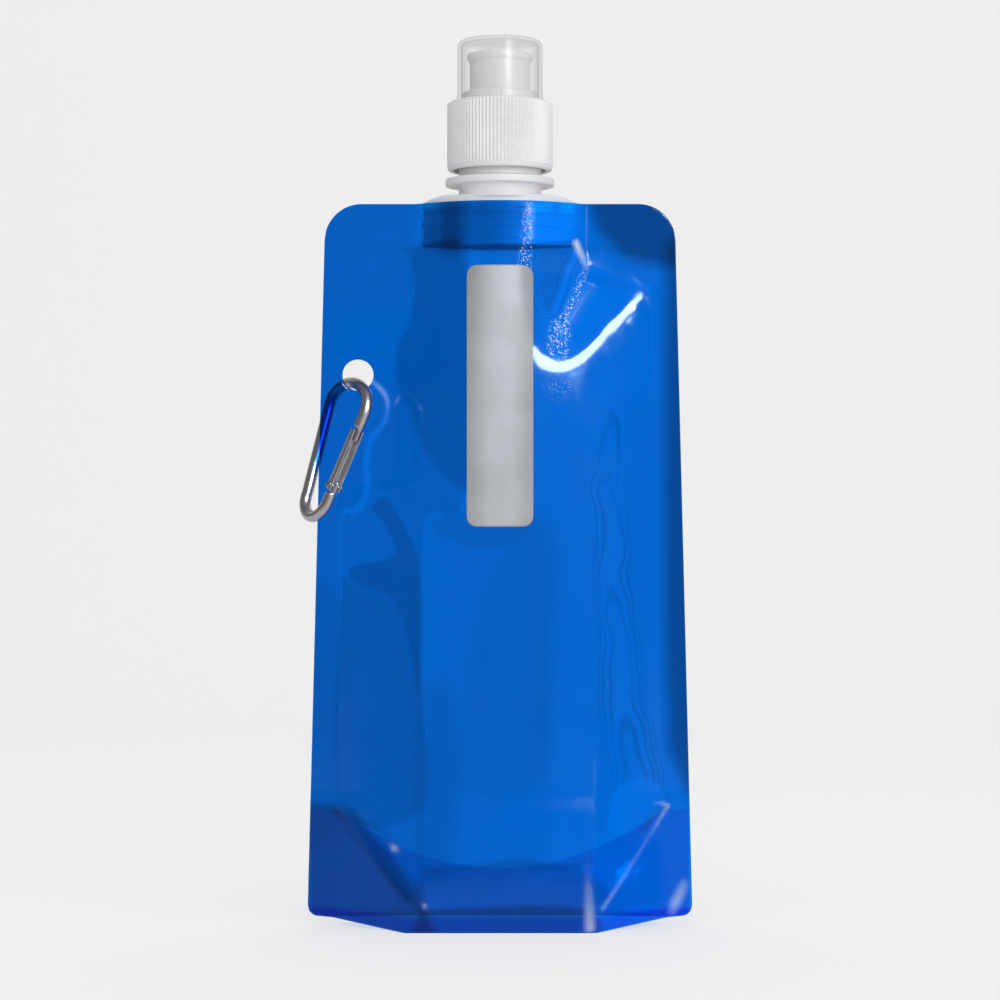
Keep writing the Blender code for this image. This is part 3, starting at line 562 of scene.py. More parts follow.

# Light and shade painted into the front film: zones that keep less light are painted shade and
# dark reflections, and zones that keep more are painted highlights; outline in millimetres, soft
# edge and share of light kept
PAINTED_SHADING_ZONES = (
    ([(-24.2, 223.6), (-24.2, 205.4), (-10.4, 201.1), (-10.3, 132.3), (-20.6, 125.7),
      (-23, 122.1), (-23.6, 99.2), (-23, 51.1), (-22.2, 9.9), (-22.8, -8.1), (-70.2, -10.8),
      (-70.2, 223.8)], 2.0, 0.79),
    ([(-27.9, 205.5), (-25.9, 193.1), (-27.7, 182.4), (-30.8, 176.4), (-31.8, 167.4),
      (-29.3, 159.1), (-24.3, 147.4), (-18.8, 138.9), (-10.3, 131.7), (-9.1, 138.3),
      (-9.2, 203.1)], 3.0, 0.76),
    ([(-48.6, 106.4), (-45.1, 104.1), (-38, 101.4), (-31.8, 97.6), (-26.6, 87.1), (-23.9, 69.1),
      (-22.6, 37.6), (-48.5, 36.2)], 2.5, 0.83),
    ([(-39.2, 127.2), (-33.4, 119.6), (-32.4, 112.1), (-44.2, 109.2), (-45.1, 105), (-38, 102),
      (-31.8, 98.2), (-27.3, 87.1), (-24.5, 72.1), (-23.9, 84.1), (-23.6, 96.2), (-24.8, 111.2),
      (-28.8, 121.2), (-34.6, 129.9)], 1.5, 0.73),
    ([(-67.2, 98.8), (-48.6, 98.8), (-48.5, 31.9), (-67.1, 31.8)], 7.0, 0.86),
    ([(-23, 124.8), (-22.8, 19.3), (11.8, 19.4), (14.9, 42.3), (16.7, 87.2),
      (13.4, 124.8)], 7.0, 0.88),
    ([(9.2, 121.5), (1.4, 112.5), (-4.9, 99.3), (-9.1, 81.2), (-12.1, 60.2), (-14.5, 43.8),
      (11.3, 43.8), (13.4, 87.2), (11.9, 120.3)], 3.5, 0.93),
    ([(13.4, 153.4), (13.4, 39.4), (50.8, 37.9), (50.8, 153.7)], 9.0, 0.95),
    ([(-33, 162.8), (-18.2, 135.3), (-10.3, 126.9), (-23, 124.5), (-37.3, 136)], 4.0, 0.96),
    ([(-21.2, 123.3), (-18.2, 119.4), (-12.7, 116.4), (-6.1, 115), (0.8, 115.5), (6.5, 117.9),
      (9.2, 122.1), (-0.1, 127.8)], 1.5, 0.88),
    ([(50.5, 207), (49.9, 159.8), (50.2, 98.8), (51.1, 68.3), (52.9, 50), (65.4, 43.9),
      (65.4, 207)], 6.5, 0.47),
    ([(27.3, 226.9), (27.9, 216.2), (32.2, 208.6), (42.6, 201.9), (65.4, 201.9),
      (65.4, 226.9)], 7.0, 0.42),
    ([(-18.9, 223.2), (-11.6, 222.8), (-11.6, 205.3), (-18.9, 205.6)], 7.0, 0.6),
    ([(-9.2, 222.7), (-0.1, 222.5), (-0.1, 205.1), (-9.2, 205.2)], 8.0, 0.86),
    ([(9.8, 218.8), (15.3, 219.1), (15.3, 216.6), (9.8, 216.4)], 0.8, 1.22),
    ([(18.4, 218.9), (22.4, 218.9), (22.4, 216.5), (18.4, 216.5)], 0.8, 1.22),
    ([(12.2, 205), (12.9, 192.7), (14.1, 187.2), (15.9, 188.5), (18, 194.4), (21.1, 202.7),
      (21.1, 205.5)], 2.5, 0.8),
    ([(-23, 72.1), (-22.8, 19.3), (-15.7, 19.4), (-12.7, 45.3), (-15.2, 72.2)], 8.0, 0.84),
    ([(-24.2, 216.6), (-19.8, 216.3), (-19.8, 206), (-24.2, 206.3)], 1.2, 0.82),
    ([(8.3, 218.2), (23.3, 219), (23.3, 206.5), (8.3, 205.8)], 7.0, 1.27),
    ([(11.9, 201.1), (22.7, 203.7), (27.2, 194.7), (42.5, 192.7), (30.2, 179.4), (18, 170.9),
      (11.3, 174.5)], 5.0, 1.12),
    ([(32, 169.3), (28.3, 161), (26.4, 147.4), (27, 123.3), (27.6, 93.1), (29.4, 62.9),
      (30.9, 41.5), (36.7, 41.7), (42.3, 45.9), (46.1, 48.8), (43.6, 68.6), (41.1, 86.8),
      (39.3, 102), (39, 123.2), (39.9, 138.4), (38.4, 156.6), (35.7, 165.7)], 3.0, 1.03),
    ([(-70.2, 37.3), (-47.2, 36.3), (-40, 30.8), (-30.7, 20.9), (-22.8, 9.9), (-22.8, -8.1),
      (-70.2, -10.8)], 4.0, 0.62),
    ([(-45, 31.6), (-38.7, 23.7), (-30.6, 10.2), (-26.4, 9.9), (-28.2, 15.8),
      (-34.7, 24.1)], 2.0, 0.8),
    ([(-22.8, 19.3), (-9.1, 20), (11.8, 21.1), (25.3, 18.2), (29.8, 8.2), (-22.8, 8.4)], 3.0, 0.79),
    # The hem is darker partly by its weld and partly by painted shade for the floor's shadow under
    # the pouch
    ([(-24, 7.2), (24.7, 7.2), (24.7, -8.1), (-24, -8.1)], 2.5, 0.57),
    ([(31.7, 30.2), (33.6, 39), (37.7, 43.8), (43.9, 44.9), (48, 42.6), (49.9, 37.9), (47, 33.6),
      (39.1, 28.2)], 1.3, 1.17),
    ([(27.4, 30.5), (42.2, 27.9), (51.1, 35.5), (60.8, 36.1), (60.8, 5), (29.8, 5.5)], 3.0, 1.08),
    ([(24.7, 6.3), (24.7, -8.1), (66.9, -10.8), (66.9, 5.9)], 2.0, 1.1),
)

# Seams and fold lines: darker lines are seams and painted shade along folds, and lighter lines are
# painted highlights along folds; path in millimetres, width and share of light kept
SEAMS_AND_PAINTED_FOLD_LINES = (
    ([(23, 204.7), (20.2, 197.5), (18.6, 192.3), (16.5, 186.1)], 0.5, 1.3),
    ([(-38.2, 165), (-34.6, 160.4), (-34.3, 156.7), (-35.8, 152.2), (-39.5, 147.6),
      (-40.7, 141.5), (-40.6, 132.3), (-42.6, 126.9), (-47.4, 125.6)], 1.0, 1.35),
    ([(-48.9, 123.2), (-48.6, 83.6), (-47.9, 36.2)], 0.8, 1.12),
    ([(-24.2, 206.1), (-0.1, 204.8), (22.7, 206.5)], 0.9, 0.72),
    ([(-52, 206.4), (-38.2, 206.1), (-24.5, 206)], 0.8, 0.93),
    ([(23.3, 206.2), (36.5, 205.2), (49.3, 203.7)], 0.9, 0.88),
    ([(-23.2, 216.6), (-0.1, 215.9), (21.7, 215.8)], 0.6, 0.88),
    ([(23.6, 205.3), (27.3, 199.9), (33.4, 197.9), (40.1, 195.7), (45.6, 193.9)], 0.9, 1.15),
    ([(-49.5, 34.3), (-44.1, 27.8), (-34.7, 17.5), (-24.6, 7.5)], 1.1, 0.72),
    ([(-49.5, 34.3), (-45, 32.8), (-36.9, 30.5), (-30.1, 24.5)], 0.9, 0.82),
    ([(51.1, 36.1), (45.4, 27.7), (37.5, 16.4), (30.7, 7.2)], 1.0, 1.08),
    ([(51.1, 36.1), (47, 34.5), (43.8, 29.9)], 0.9, 0.8),
    ([(-21, 18.8), (-9.1, 19.4), (5.9, 21.1), (17.8, 19.4), (26.8, 21.7)], 0.8, 0.85),
    ([(28.2, 117.2), (29.1, 99.1), (30.1, 75), (31.5, 50.9)], 1.1, 0.93),
    ([(39, 138.4), (38.7, 111.1), (40.2, 92.9), (42.4, 71.7), (46.1, 49.7)], 0.9, 0.93),
    ([(27.3, 196.2), (30.3, 190.1), (25.6, 180.8), (18.9, 174)], 5.0, 1.06),
)

# Places where both walls cling together, ringed by fine lines: outline and soft edge
CLING_ZONES = (
    ([(11.3, 205), (11.3, 197.2), (12.2, 189.6), (13.8, 186), (16.2, 187.3), (18.6, 192.9),
      (21.7, 201.5), (22.4, 205.6)], 6.0),
)

# Level of the fine lines in such a place, and how strong they are there
CLING_LEVEL = 1.6
CLING_STRENGTH = 0.75

# Long patch where both walls cling: height, middle and half width in millimetres, and level
CLING_LINE = (
    (164.1, 32, 4.8, -0.1),
    (161.1, 32.6, 5.5, 0.02),
    (155, 33.1, 6.1, 0.2),
    (144.4, 33.4, 6.7, 0.44),
    (134.4, 32.2, 5.6, 0.6),
    (123.3, 33.4, 6.4, 0.75),
    (108.1, 33.7, 6.4, 0.92),
    (91.8, 35.3, 6.4, 1.06),
    (75.5, 36.5, 6.7, 1.2),
    (59.1, 38.6, 7.3, 1.38),
    (38.5, 41.7, 7.9, 1.55),
)

# How its lines fade at its top, at its foot and at its edge
CLING_FADE_TOP = 4.0 * MM
CLING_FADE_BASE = 9.0 * MM
CLING_FADE_LEVEL = 0.1

# Places with painted sparkle, white flecks that stand in for the lamp's glints on crumpled film:
# outline, soft edge and strength
PAINTED_SPARKLE_ZONES = (
    ([(7.1, 218.1), (9.8, 218.2), (9.5, 205.8), (6.5, 205.8)], 1.2, 0.5),
    ([(6.2, 205.2), (9.2, 205.2), (8.9, 198.6), (6.5, 198.5)], 1.2, 0.95),
    ([(26.4, 199), (24.5, 198.9), (21.7, 191.4), (18.9, 186.2), (15.6, 183), (14.4, 177.5),
      (15.2, 171.5), (19.8, 171.6), (21.3, 178.3), (20.8, 184.4), (23.5, 190),
      (25.4, 194.9)], 1.6, 0.9),
    ([(11.9, 166.9), (23.4, 167), (21, 160), (14.3, 160)], 5.0, 0.22),
)

# Painted glints along folds, white marks where the lamp's reflection shows: path, width and share
# of white
PAINTED_GLINT_MARKS = (
    ([(25.9, 28.2), (26.2, 17.3), (26.5, 9.9), (26.8, 1.5)], 1.3, (0.0, 0.05, 0.22, 0.6)),
    ([(56.9, 14.7), (55.3, 10.5), (53.5, 6.8), (52.3, 4.1)], 1.5, (0.0, 0.3, 0.4, 0.15)),
    ([(51.1, 36.1), (45.4, 27.7), (37.5, 16.4), (30.7, 7.2)], 0.8, (0.2, 0.07, 0.09, 0.16)),
    ([(-32.5, 25.8), (-31.6, 24.9), (-30.7, 24.4)], 0.9, (0.15, 0.5, 0.15)),
    ([(-23.1, 9), (-22.5, 8.1), (-21.9, 7.2)], 0.6, (0.1, 0.35, 0.1)),
    ([(23, 207.4), (24.2, 204.8), (26.4, 199.9)], 0.8, (0.95, 0.8, 0.15)),
    ([(-39.1, 165.6), (-36.4, 163.1), (-34.6, 160.4), (-34.3, 156.7), (-35.5, 152.5),
      (-39.5, 147.6)], 0.6, (0.15, 0.28, 0.2, 0.08, 0.04, 0.0)),
    ([(45.4, 37.3), (48.6, 37.1), (51.1, 36.1)], 0.5, (0.0, 0.15, 0.45)),
)


def shoulder_dent(x, z):
    """How far the right shoulder is pushed in between the boat and the side seal."""
    rim = DENT_LOW[1] + np.hypot(x - DENT_LOW[0], DENT_ROUND) - DENT_ROUND
    above = (z - rim + np.hypot(z - rim, DENT_EDGE)) / 2
    depth = DENT_SLOPE * DENT_REACH * (1.0 - np.exp(-above / DENT_REACH))
    upper = DENT_TIP[1] + DENT_RISE * (DENT_TIP[0] - x)
    fade = np.clip(0.35 * (DENT_TIP[0] - x), *DENT_FADE)
    start, full = DENT_LEFT
    return depth * ease((upper - z) / fade) * ease((x - start) / (full - start))


def front_relief(x, z):
    """How far creases push the front film outwards."""
    push = -shoulder_dent(x, z)
    away, side, share = near_path(smooth_path(FOLD_PATH), x, z)
    height = np.interp(share, np.linspace(0.0, 1.0, len(FOLD_HEIGHTS)), FOLD_HEIGHTS) * MM
    fold = height * np.exp(-(away / np.where(side > 0, FOLD_INSIDE, FOLD_OUTSIDE)) ** 2)
    fold *= ease((film_depth(x, z) - SEAL_Y) / FOLD_START)
    for points, heights, width in CREASES:
        push += MM * ridge(points, heights, width, x, z)
    free = ease(film_depth(x, z) / CREASE_SWELL)
    return (push * free + fold) * ease((BOAT_BASE_Z + CREASE_END - z) / CREASE_FADE)


def front_place(x, z):
    """Distance of the front film's middle from the middle plane."""
    return film_depth(x, z) + front_relief(x, z)


def film_grid(name, grid, side, place, mat):
    """One big film panel with its hanging hole, and the places of its vertices."""
    bm, u, v = flat_grid(*grid)
    u = bunched(u, 0.5)
    top = POUCH_HEIGHT - corner_drop(u * TOP_WIDTH / 2, TOP_WIDTH / 2, TOP_CORNER_RADIUS)
    z = between(hem_height(u * BASE_WIDTH / 2), top, (v + 1.0) / 2)
    x = u * half_width(z)
    move_to(bm, x, side * place(x, z), z)
    cut_hanging_hole(bm)
    film = mesh_object(name, bm, mat)
    spots = np.array([vert.co for vert in film.data.vertices], float)
    return film, spots[:, 0], spots[:, 2]


def cut_hanging_hole(bm):
    """Open the hanging hole in a film and draw its rim out to a circle."""
    radius = HOLE_DIAMETER / 2
    centre = Vector((HOLE_X, 0.0, HOLE_HEIGHT))

    def reach(spot):
        return math.hypot(spot.x - centre.x, spot.z - centre.z)

    inner = [face for face in bm.faces if reach(face.calc_center_median()) < radius]
    bmesh.ops.delete(bm, geom=inner, context="FACES")
    for vert in bm.verts:
        if vert.is_boundary and reach(vert.co) < radius + 2.0 * MM:
            stretch = radius / reach(vert.co)
            vert.co.x = centre.x + (vert.co.x - centre.x) * stretch
            vert.co.z = centre.z + (vert.co.z - centre.z) * stretch


def wall(obj, thickness):
    """Give a middle surface its thickness."""
    mod = obj.modifiers.new("wall", "SOLIDIFY")
    mod.thickness = thickness
    mod.offset = 0.0


def store(obj, **finish):
    """Keep numbers for each vertex, for the material to read."""
    for name, numbers in finish.items():
        layer = obj.data.attributes.new(name, "FLOAT", "POINT")
        layer.data.foreach_set("value", np.full(len(layer.data), numbers, np.float32))


def film_tone(x, z):
    """Painted light and shade of the film at a place, as a share of the light kept."""
    tone = kept_in_zones(PAINTED_SHADING_ZONES, x, z)
    for points, width, kept in SEAMS_AND_PAINTED_FOLD_LINES:
        tone *= 1.0 - ridge(points, [1.0 - kept], width, x, z)
    return tone


def film_crumple(x, z):
    """How strong the painted sparkle is at a place."""
    return np.max([
        strength * inside_outline(outline, x, z, feather)
        for outline, feather, strength in PAINTED_SPARKLE_ZONES], axis=0)


def film_pale(x, z):
    """How much a painted glint whitens a place."""
    return np.max([
        ridge(points, shares, width, x, z) for points, width, shares in PAINTED_GLINT_MARKS], axis=0)


def film_cling(x, z):
    """Level that the fine lines follow where both walls cling together, and how strong they are."""
    heights, middles, halves, levels = np.array(CLING_LINE, float)[::-1].T
    heights *= MM
    sway = 0.5 * MM * np.sin(z / (5.0 * MM)) + 0.3 * MM * np.sin(z / (2.1 * MM) + 1.0)
    middle = MM * np.interp(z, heights, middles)
    across = (x + sway - middle) / (MM * np.interp(z, heights, halves))
    ripple = 0.07 * np.sin(z / (6.3 * MM) + 1.7 * across) + 0.05 * np.sin(z / (2.9 * MM) - across)
    level = np.interp(z, heights, levels) - across ** 2 + ripple
    faded = np.minimum(
        ease((heights[-1] - z) / CLING_FADE_TOP), ease((z - heights[0]) / CLING_FADE_BASE))
    uneven = 0.7 + 0.3 * np.sin(z / (8.0 * MM) + 2.0 * across)
    strength = faded * ease(level / CLING_FADE_LEVEL) * uneven
    for outline, feather in CLING_ZONES:
        inside = inside_outline(outline, x + sway, z, feather)
        level = np.where(inside > 0.0, CLING_LEVEL * inside, level)
        strength = np.where(inside > 0.0, CLING_STRENGTH, strength)
    return np.maximum(level, 0.0), strength


def finish_film(obj, thickness, share, node):
    """Wall of a film, its share of the front wall's travel as the pouch empties, which is not used,
    and its node.
    """
    wall(obj, thickness)
    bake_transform(obj)
    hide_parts(node)


def emptying(x, z):
    """Share of the collapse that a film takes at a place; none at its welds."""
    swell = film_depth(x, z) - LAYER_Y
    free = ease((BOAT_BASE_Z - STILL_DROP - z) / HANG_DROP)
    return free * np.clip(swell * (1.0 - KEPT_SWELL) / COLLAPSE, 0.0, 1.0)


def make_films(mat):
    """Front and rear film."""
    front, x, z = film_grid("clear_blue_front", FRONT_GRID, -1, front_place, mat)
    level, strength = film_cling(x, z)
    # The front film carries painted light and shade, painted glints and painted sparkle
    store(
        front, tone=film_tone(x, z), cling=level, etch=strength,
        # At the hem the front film keeps less green, partly by its weld and partly by painted shade
        blueness=1.0 - HEM_WELD_AND_PAINTED_SHADE_GREEN * ease((HEM_TOP - z) / HEM_EDGE), crumple=film_crumple(x, z),
        pale=film_pale(x, z), shine=kept_in_zones(DULL_ZONES, x, z))
    finish_film(front, FILM, emptying(x, z), "front_film")

    back, x, z = film_grid("clear_blue_back", BACK_GRID, 1, film_depth, mat)
    store(
        # At the hem the rear film is darker, partly by its weld and partly by painted shade
        back, tone=1.0 - REAR_HEM_WELD_AND_PAINTED_SHADE * ease((HEM_TOP / 2 - z) / HEM_EDGE), blueness=1.0,
        shine=kept_in_zones(REAR_DULL_ZONES, x, z))
    finish_film(back, FILM, -emptying(x, z), "back_film")


def fold_height(x):
    """Height of the bottom panel's fold."""
    reach = half_width(FOLD_APEX_HEIGHT) - SIDE_SEAL
    share = np.minimum(np.abs(x) / reach, 1.0)
    return between(FOLD_SAG_HEIGHT, FOLD_APEX_HEIGHT, share * share)


def make_gusset(mat):
    """Folded bottom panel between the two films."""
    bm, u, turn = flat_grid(*GUSSET_GRID)
    x = bunched(u, 0.5) * (half_width(FOLD_APEX_HEIGHT) - GAP)
    side = np.where(turn < 0, -1.0, 1.0)
    leg = np.abs(turn)
    bend = leg <= FOLD_BEND_SHARE
    angle = np.minimum(leg / FOLD_BEND_SHARE, 1.0) * math.pi / 2
    share = np.clip((leg - FOLD_BEND_SHARE) / (1.0 - FOLD_BEND_SHARE), 0.0, 1.0)
    hem = hem_height(x) + FOLD_HEM_STEP
    fold = fold_height(x)
    foot = FOLD_DRAW * (film_depth(x, hem) - LAYER_Y)
    z = np.where(bend, fold + SEAL_Y * (np.cos(angle) - 1.0), between(fold - SEAL_Y, hem, share))
    y = side * np.where(bend, SEAL_Y * np.sin(angle), SEAL_Y + foot * share)
    move_to(bm, x, y, z)
    gusset = mesh_object("clear_blue_gusset", bm, mat)
    store(gusset, tone=1.0, blueness=1.0, shine=0.3)
    finish_film(gusset, FILM, -side * share * emptying(x, hem), "bottom_gusset")


def make_label(mat):
    """Satin write-on label that lies on the front film."""
    bm, u, v = flat_grid(*LABEL_GRID)
    x = bunched(u, 0.6) * LABEL_WIDTH / 2
    cut = corner_drop(x, LABEL_WIDTH / 2, LABEL_CORNER_RADIUS)
    z = between(LABEL_TOP_HEIGHT - LABEL_HEIGHT + cut, LABEL_TOP_HEIGHT - cut, (v + 1.0) / 2)
    move_to(bm, x, -front_place(x, z) - FILM / 2 - GAP - LABEL_THICKNESS / 2, z)
    label = mesh_object("satin_write_on_label", bm, mat)
    finish_film(label, LABEL_THICKNESS, emptying(x, z), "write_on_label")


# Helpers for moulded and turned pieces


def soften(bm, size, edges, segments=3):
    """Round edges by a size."""
    bmesh.ops.bevel(
        bm, geom=edges, offset=size, offset_type="OFFSET", segments=segments, profile=0.5,
        affect="EDGES", material=-1, clamp_overlap=True)


def turned(profile, steps=TURN_STEPS, soft=0.0):
    """Body turned from a closed profile of (radius, height), its rims rounded by a size."""
    bm = bmesh.new()
    verts = [bm.verts.new((r, 0.0, z)) for r, z in profile]
    edges = [bm.edges.new(pair) for pair in zip(verts, verts[1:] + verts[:1])]
    bmesh.ops.spin(
        bm, geom=verts + edges, cent=(0, 0, 0), axis=(0, 0, 1),
        angle=math.tau, steps=steps, use_merge=True, use_duplicate=False)
    bmesh.ops.remove_doubles(bm, verts=bm.verts, dist=SAME_SPOT)
    bmesh.ops.recalc_face_normals(bm, faces=bm.faces)
    if soft:
        soften(bm, soft, [
            edge for edge in bm.edges
            if abs(edge.verts[0].co.z - edge.verts[1].co.z) < SAME_SPOT
            and edge.calc_face_angle(0.0) > SHARP_ANGLE
            and abs(edge.verts[0].co.xy.length - edge.verts[1].co.xy.length) < SAME_SPOT])
    return bm


def swept(around, along, place):
    """Closed rod: a grid rolled up by place(share round, share along), with filled ends."""
    bm = bent_grid(around, along, place)
    bmesh.ops.remove_doubles(bm, verts=bm.verts, dist=SAME_SPOT)
    bmesh.ops.holes_fill(bm, edges=[edge for edge in bm.edges if edge.is_boundary], sides=0)
    bmesh.ops.recalc_face_normals(bm, faces=bm.faces)
    return bm


def put_together(*parts):
    """One bmesh that holds several bodies."""
    whole = parts[0]
    for part in parts[1:]:
        mesh = bpy.data.meshes.new("part")
        part.to_mesh(mesh)
        part.free()
        whole.from_mesh(mesh)
        bpy.data.meshes.remove(mesh)
    return whole


def piece(name, bm, mat, body, node):
    """Finished rigid piece that stands for a node and rides on a body."""
    obj = mesh_object(name, bm, mat)
    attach(obj, body)
    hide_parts(node)
    return obj


# Spout


def thread_body(root, crest, start):
    """Helical ridge between two radii, with faded ends."""
    fade = THREAD_STEPS / 8
    steps = int(THREAD_STEPS * THREAD_TURNS)

    def place(round_share, share):
        i = share * steps
        angle = math.tau * i / THREAD_STEPS
        full = min(1.0, (i + 1) / fade, (steps - i + 1) / fade)
        tip = between(root, crest, full)
        half_root = THREAD_ROOT_WIDTH / 2
        half_tip = between(half_root, THREAD_CREST_WIDTH / 2, full)
        section = [(root, -half_root), (tip, -half_tip), (tip, half_tip), (root, half_root)]
        r, rise = section[round(round_share * 4) % 4]
        rise += start + THREAD_PITCH * i / THREAD_STEPS
        return Vector((r * math.cos(angle), r * math.sin(angle), rise))

    return swept(4, steps, place)


def boat_outline(share, z, inset):
    """Point of the boat's lens outline, at a share of the way round it."""
    half = BOAT_WIDTH / 2
    angle = share * math.tau
    x = half * math.sin(angle) * (1.0 - inset / half)
    depth = BOAT_TIP / 2 + (BOAT_DEPTH - BOAT_TIP) / 2 * max(1.0 - math.sin(angle) ** 2, 0.0)
    y = -math.copysign(depth, math.cos(angle)) * (1.0 - 2.0 * inset / BOAT_DEPTH)
    if z > POUCH_HEIGHT:
        past = max(abs(x) - BOAT_TAPER_START, 0.0) / (half - BOAT_TAPER_START)
        z -= BOAT_PROUD * past * past
    return Vector((x, y, z))


def boat_body():
    """Weld boat: a ribbed lens with the spout's bore through it."""
    levels = []
    pitch = (TOP_SEAL - BOAT_RIB_HEIGHT) / (BOAT_RIBS - 1)
    for i in range(BOAT_RIBS):
        low = BOAT_BASE_Z + i * pitch
        high = low + BOAT_RIB_HEIGHT
        if i:
            levels.append((low - BOAT_RIB, BOAT_RIB))
        levels.append((low, 0.0))
        if i < BOAT_RIBS - 1:
            levels += [(high, 0.0), (high + BOAT_RIB, BOAT_RIB)]
    levels += [(BOAT_TOP_Z - GAP, 0.0), (BOAT_TOP_Z, GAP)]

    def place(round_share, share):
        return boat_outline(round_share, *levels[round(share * (len(levels) - 1))])

    bm = bent_grid(TURN_STEPS, len(levels) - 1, place)
    bmesh.ops.remove_doubles(bm, verts=bm.verts, dist=SAME_SPOT)
    length = BOAT_TOP_Z - BOAT_BASE_Z
    half_way = BOAT_BASE_Z + length / 2
    middle = Matrix.Translation((0.0, 0.0, half_way))
    turn = Matrix.Rotation(-math.pi / 2, 4, "Z")
    bmesh.ops.create_cone(
        bm, cap_ends=False, segments=TURN_STEPS, radius1=NECK_BORE_R, radius2=NECK_BORE_R,
        depth=length, matrix=middle @ turn)
    rims = [edge for edge in bm.edges if edge.is_boundary]
    for upper in (False, True):
        loops = [edge for edge in rims if (edge.verts[0].co.z > half_way) == upper]
        bmesh.ops.bridge_loops(bm, edges=loops)
    bmesh.ops.recalc_face_normals(bm, faces=bm.faces)
    return bm


def make_spout(mat):
    """Spout moulding: boat, neck with its support ring, and thread."""
    foot = BOAT_TOP_Z - 3 * GAP
    neck = turned([
        (NECK_BORE_R, foot), (NECK_BORE_R, NECK_RIM_Z), (NECK_R, NECK_RIM_Z),
        (NECK_R, RING_TOP_Z), (RING_R, RING_BASE_Z + RING_RIM), (RING_R, RING_BASE_Z),
        (NECK_R, RING_BASE_Z), (NECK_R, foot)], soft=SPOUT_SOFT)
    thread = thread_body(NECK_R - GAP, THREAD_R, RING_TOP_Z + THREAD_START - THREAD_PITCH)
    bm = put_together(boat_body(), neck, thread)
    piece("moulded_spout", bm, mat, "pouch", "spout_fitment")


# Cap, nozzle and dust cap


def make_cap(mat):
    """Ribbed screw cap with its collar, hollow post, thread, spokes and plug."""
    valley = CAP_R - CAP_RIB_DEPTH
    low = CAP_BASE_Z + CAP_SKIRT_BAND
    high = DECK_TOP_Z - CAP_SHOULDER
    shell = turned([
        (CAP_BORE_R, CAP_BASE_Z), (CAP_R - CAP_EDGE, CAP_BASE_Z),
        (CAP_R - 0.15 * MM, CAP_BASE_Z + CAP_EDGE_RISE), (CAP_R - 0.1 * MM, low - CAP_RIB_FADE),
        (CAP_R, low), (CAP_R, low + CAP_RIB_FADE), (CAP_R, high - CAP_RIB_FADE), (CAP_R, high),
        (valley, DECK_TOP_Z - 0.35 * MM), (valley - CAP_EDGE, DECK_TOP_Z),
        (COLLAR_R, DECK_TOP_Z), (COLLAR_R, COLLAR_TOP_Z - GAP), (COLLAR_R - GAP, COLLAR_TOP_Z),
        (POST_R, COLLAR_TOP_Z), (POST_R, POST_TOP_Z - POST_BEAD_HEIGHT),
        (BEAD_R, POST_TOP_Z - POST_BEAD_HEIGHT), (BEAD_R, POST_TOP_Z - POST_BEAD_HEIGHT / 2),
        (POST_R, POST_TOP_Z), (POST_BORE_R, POST_TOP_Z), (POST_BORE_R, DECK_BASE_Z),
        (CAP_BORE_R, DECK_BASE_Z)], steps=6 * CAP_RIBS)
    for vert in shell.verts:
        if low + 0.1 * MM < vert.co.z < high + 0.01 * MM and vert.co.xy.length > valley:
            angle = math.atan2(vert.co.y, vert.co.x)
            cut = CAP_RIB_DEPTH * (0.5 - 0.5 * math.cos(CAP_RIBS * angle))
            vert.co.xy *= 1.0 - cut / CAP_R
    start = RING_TOP_Z + THREAD_START - 1.5 * THREAD_PITCH
    parts = [shell, thread_body(CAP_BORE_R + GAP, CAP_BORE_R - THREAD_DEPTH, start)]
    reach = POST_BORE_R + POST_WALL / 2
    for i in range(PLUG_SPOKES):
        turn = Matrix.Rotation(math.tau * i / PLUG_SPOKES, 4, "Z")
        place = Matrix.Translation((reach / 2, 0.0, POST_TOP_Z - GAP - SPOKE_HEIGHT / 2))
        spoke = bmesh.new()
        size = Matrix.Diagonal((reach, SPOKE_WIDTH, SPOKE_HEIGHT, 1.0))
        bmesh.ops.create_cube(spoke, size=1.0, matrix=turn @ place @ size)
        soften(spoke, SPOKE_SOFT, spoke.edges[:], segments=2)
        parts.append(spoke)
    plug_base = POST_TOP_Z - SPOKE_HEIGHT - 2 * GAP
    plug_top = NOZZLE_TOP_Z - GAP
    parts.append(turned([
        (0, plug_base), (PLUG_R, plug_base), (PLUG_R, plug_top), (0, plug_top)],
        steps=TURN_STEPS // 2, soft=PLUG_SOFT))
    piece("ribbed_screw_cap", put_together(*parts), mat, "cap", "screw_cap")


def make_liner(mat):
    """Sealing disc in the cap."""
    outer = CAP_BORE_R - 2 * GAP
    top = LINER_BASE_Z + LINER_THICKNESS
    bm = turned([
        (LINER_HOLE_R, LINER_BASE_Z), (outer, LINER_BASE_Z), (outer, top), (LINER_HOLE_R, top)],
        soft=LINER_SOFT)
    piece("foam_sealing_disc", bm, mat, "liner", "cap_liner")


def make_nozzle(mat):
    """Push-pull nozzle with a rolled rim and a domed top."""
    bore = BEAD_R + GAP
    lip = POST_R + GAP
    hole = PLUG_R + GAP
    rim_top = NOZZLE_TOP_Z - NOZZLE_CROWN
    rim_base = rim_top - NOZZLE_RIM_HEIGHT
    bead = NOZZLE_BASE_Z + NOZZLE_LIP_HEIGHT
    crown = [
        (between(NOZZLE_RIM_R - 0.5 * MM, hole + NOZZLE_CROWN, share),
         rim_top + NOZZLE_CROWN * math.sin(share * math.pi / 2))
        for share in np.linspace(0.0, 1.0, 7)]
    bm = turned([
        (lip, NOZZLE_BASE_Z), (NOZZLE_R, NOZZLE_BASE_Z),
        (NOZZLE_R, rim_base - (NOZZLE_RIM_R - NOZZLE_R)), (NOZZLE_RIM_R, rim_base),
        (NOZZLE_RIM_R, rim_top), *crown, (hole, NOZZLE_TOP_Z),
        (hole, NOZZLE_TOP_Z - NOZZLE_ROOF), (bore, rim_top - NOZZLE_ROOF),
        (bore, bead), (lip, bead)], soft=NOZZLE_SOFT)
    piece("drinking_spout_nozzle", bm, mat, "nozzle", "drinking_nozzle")


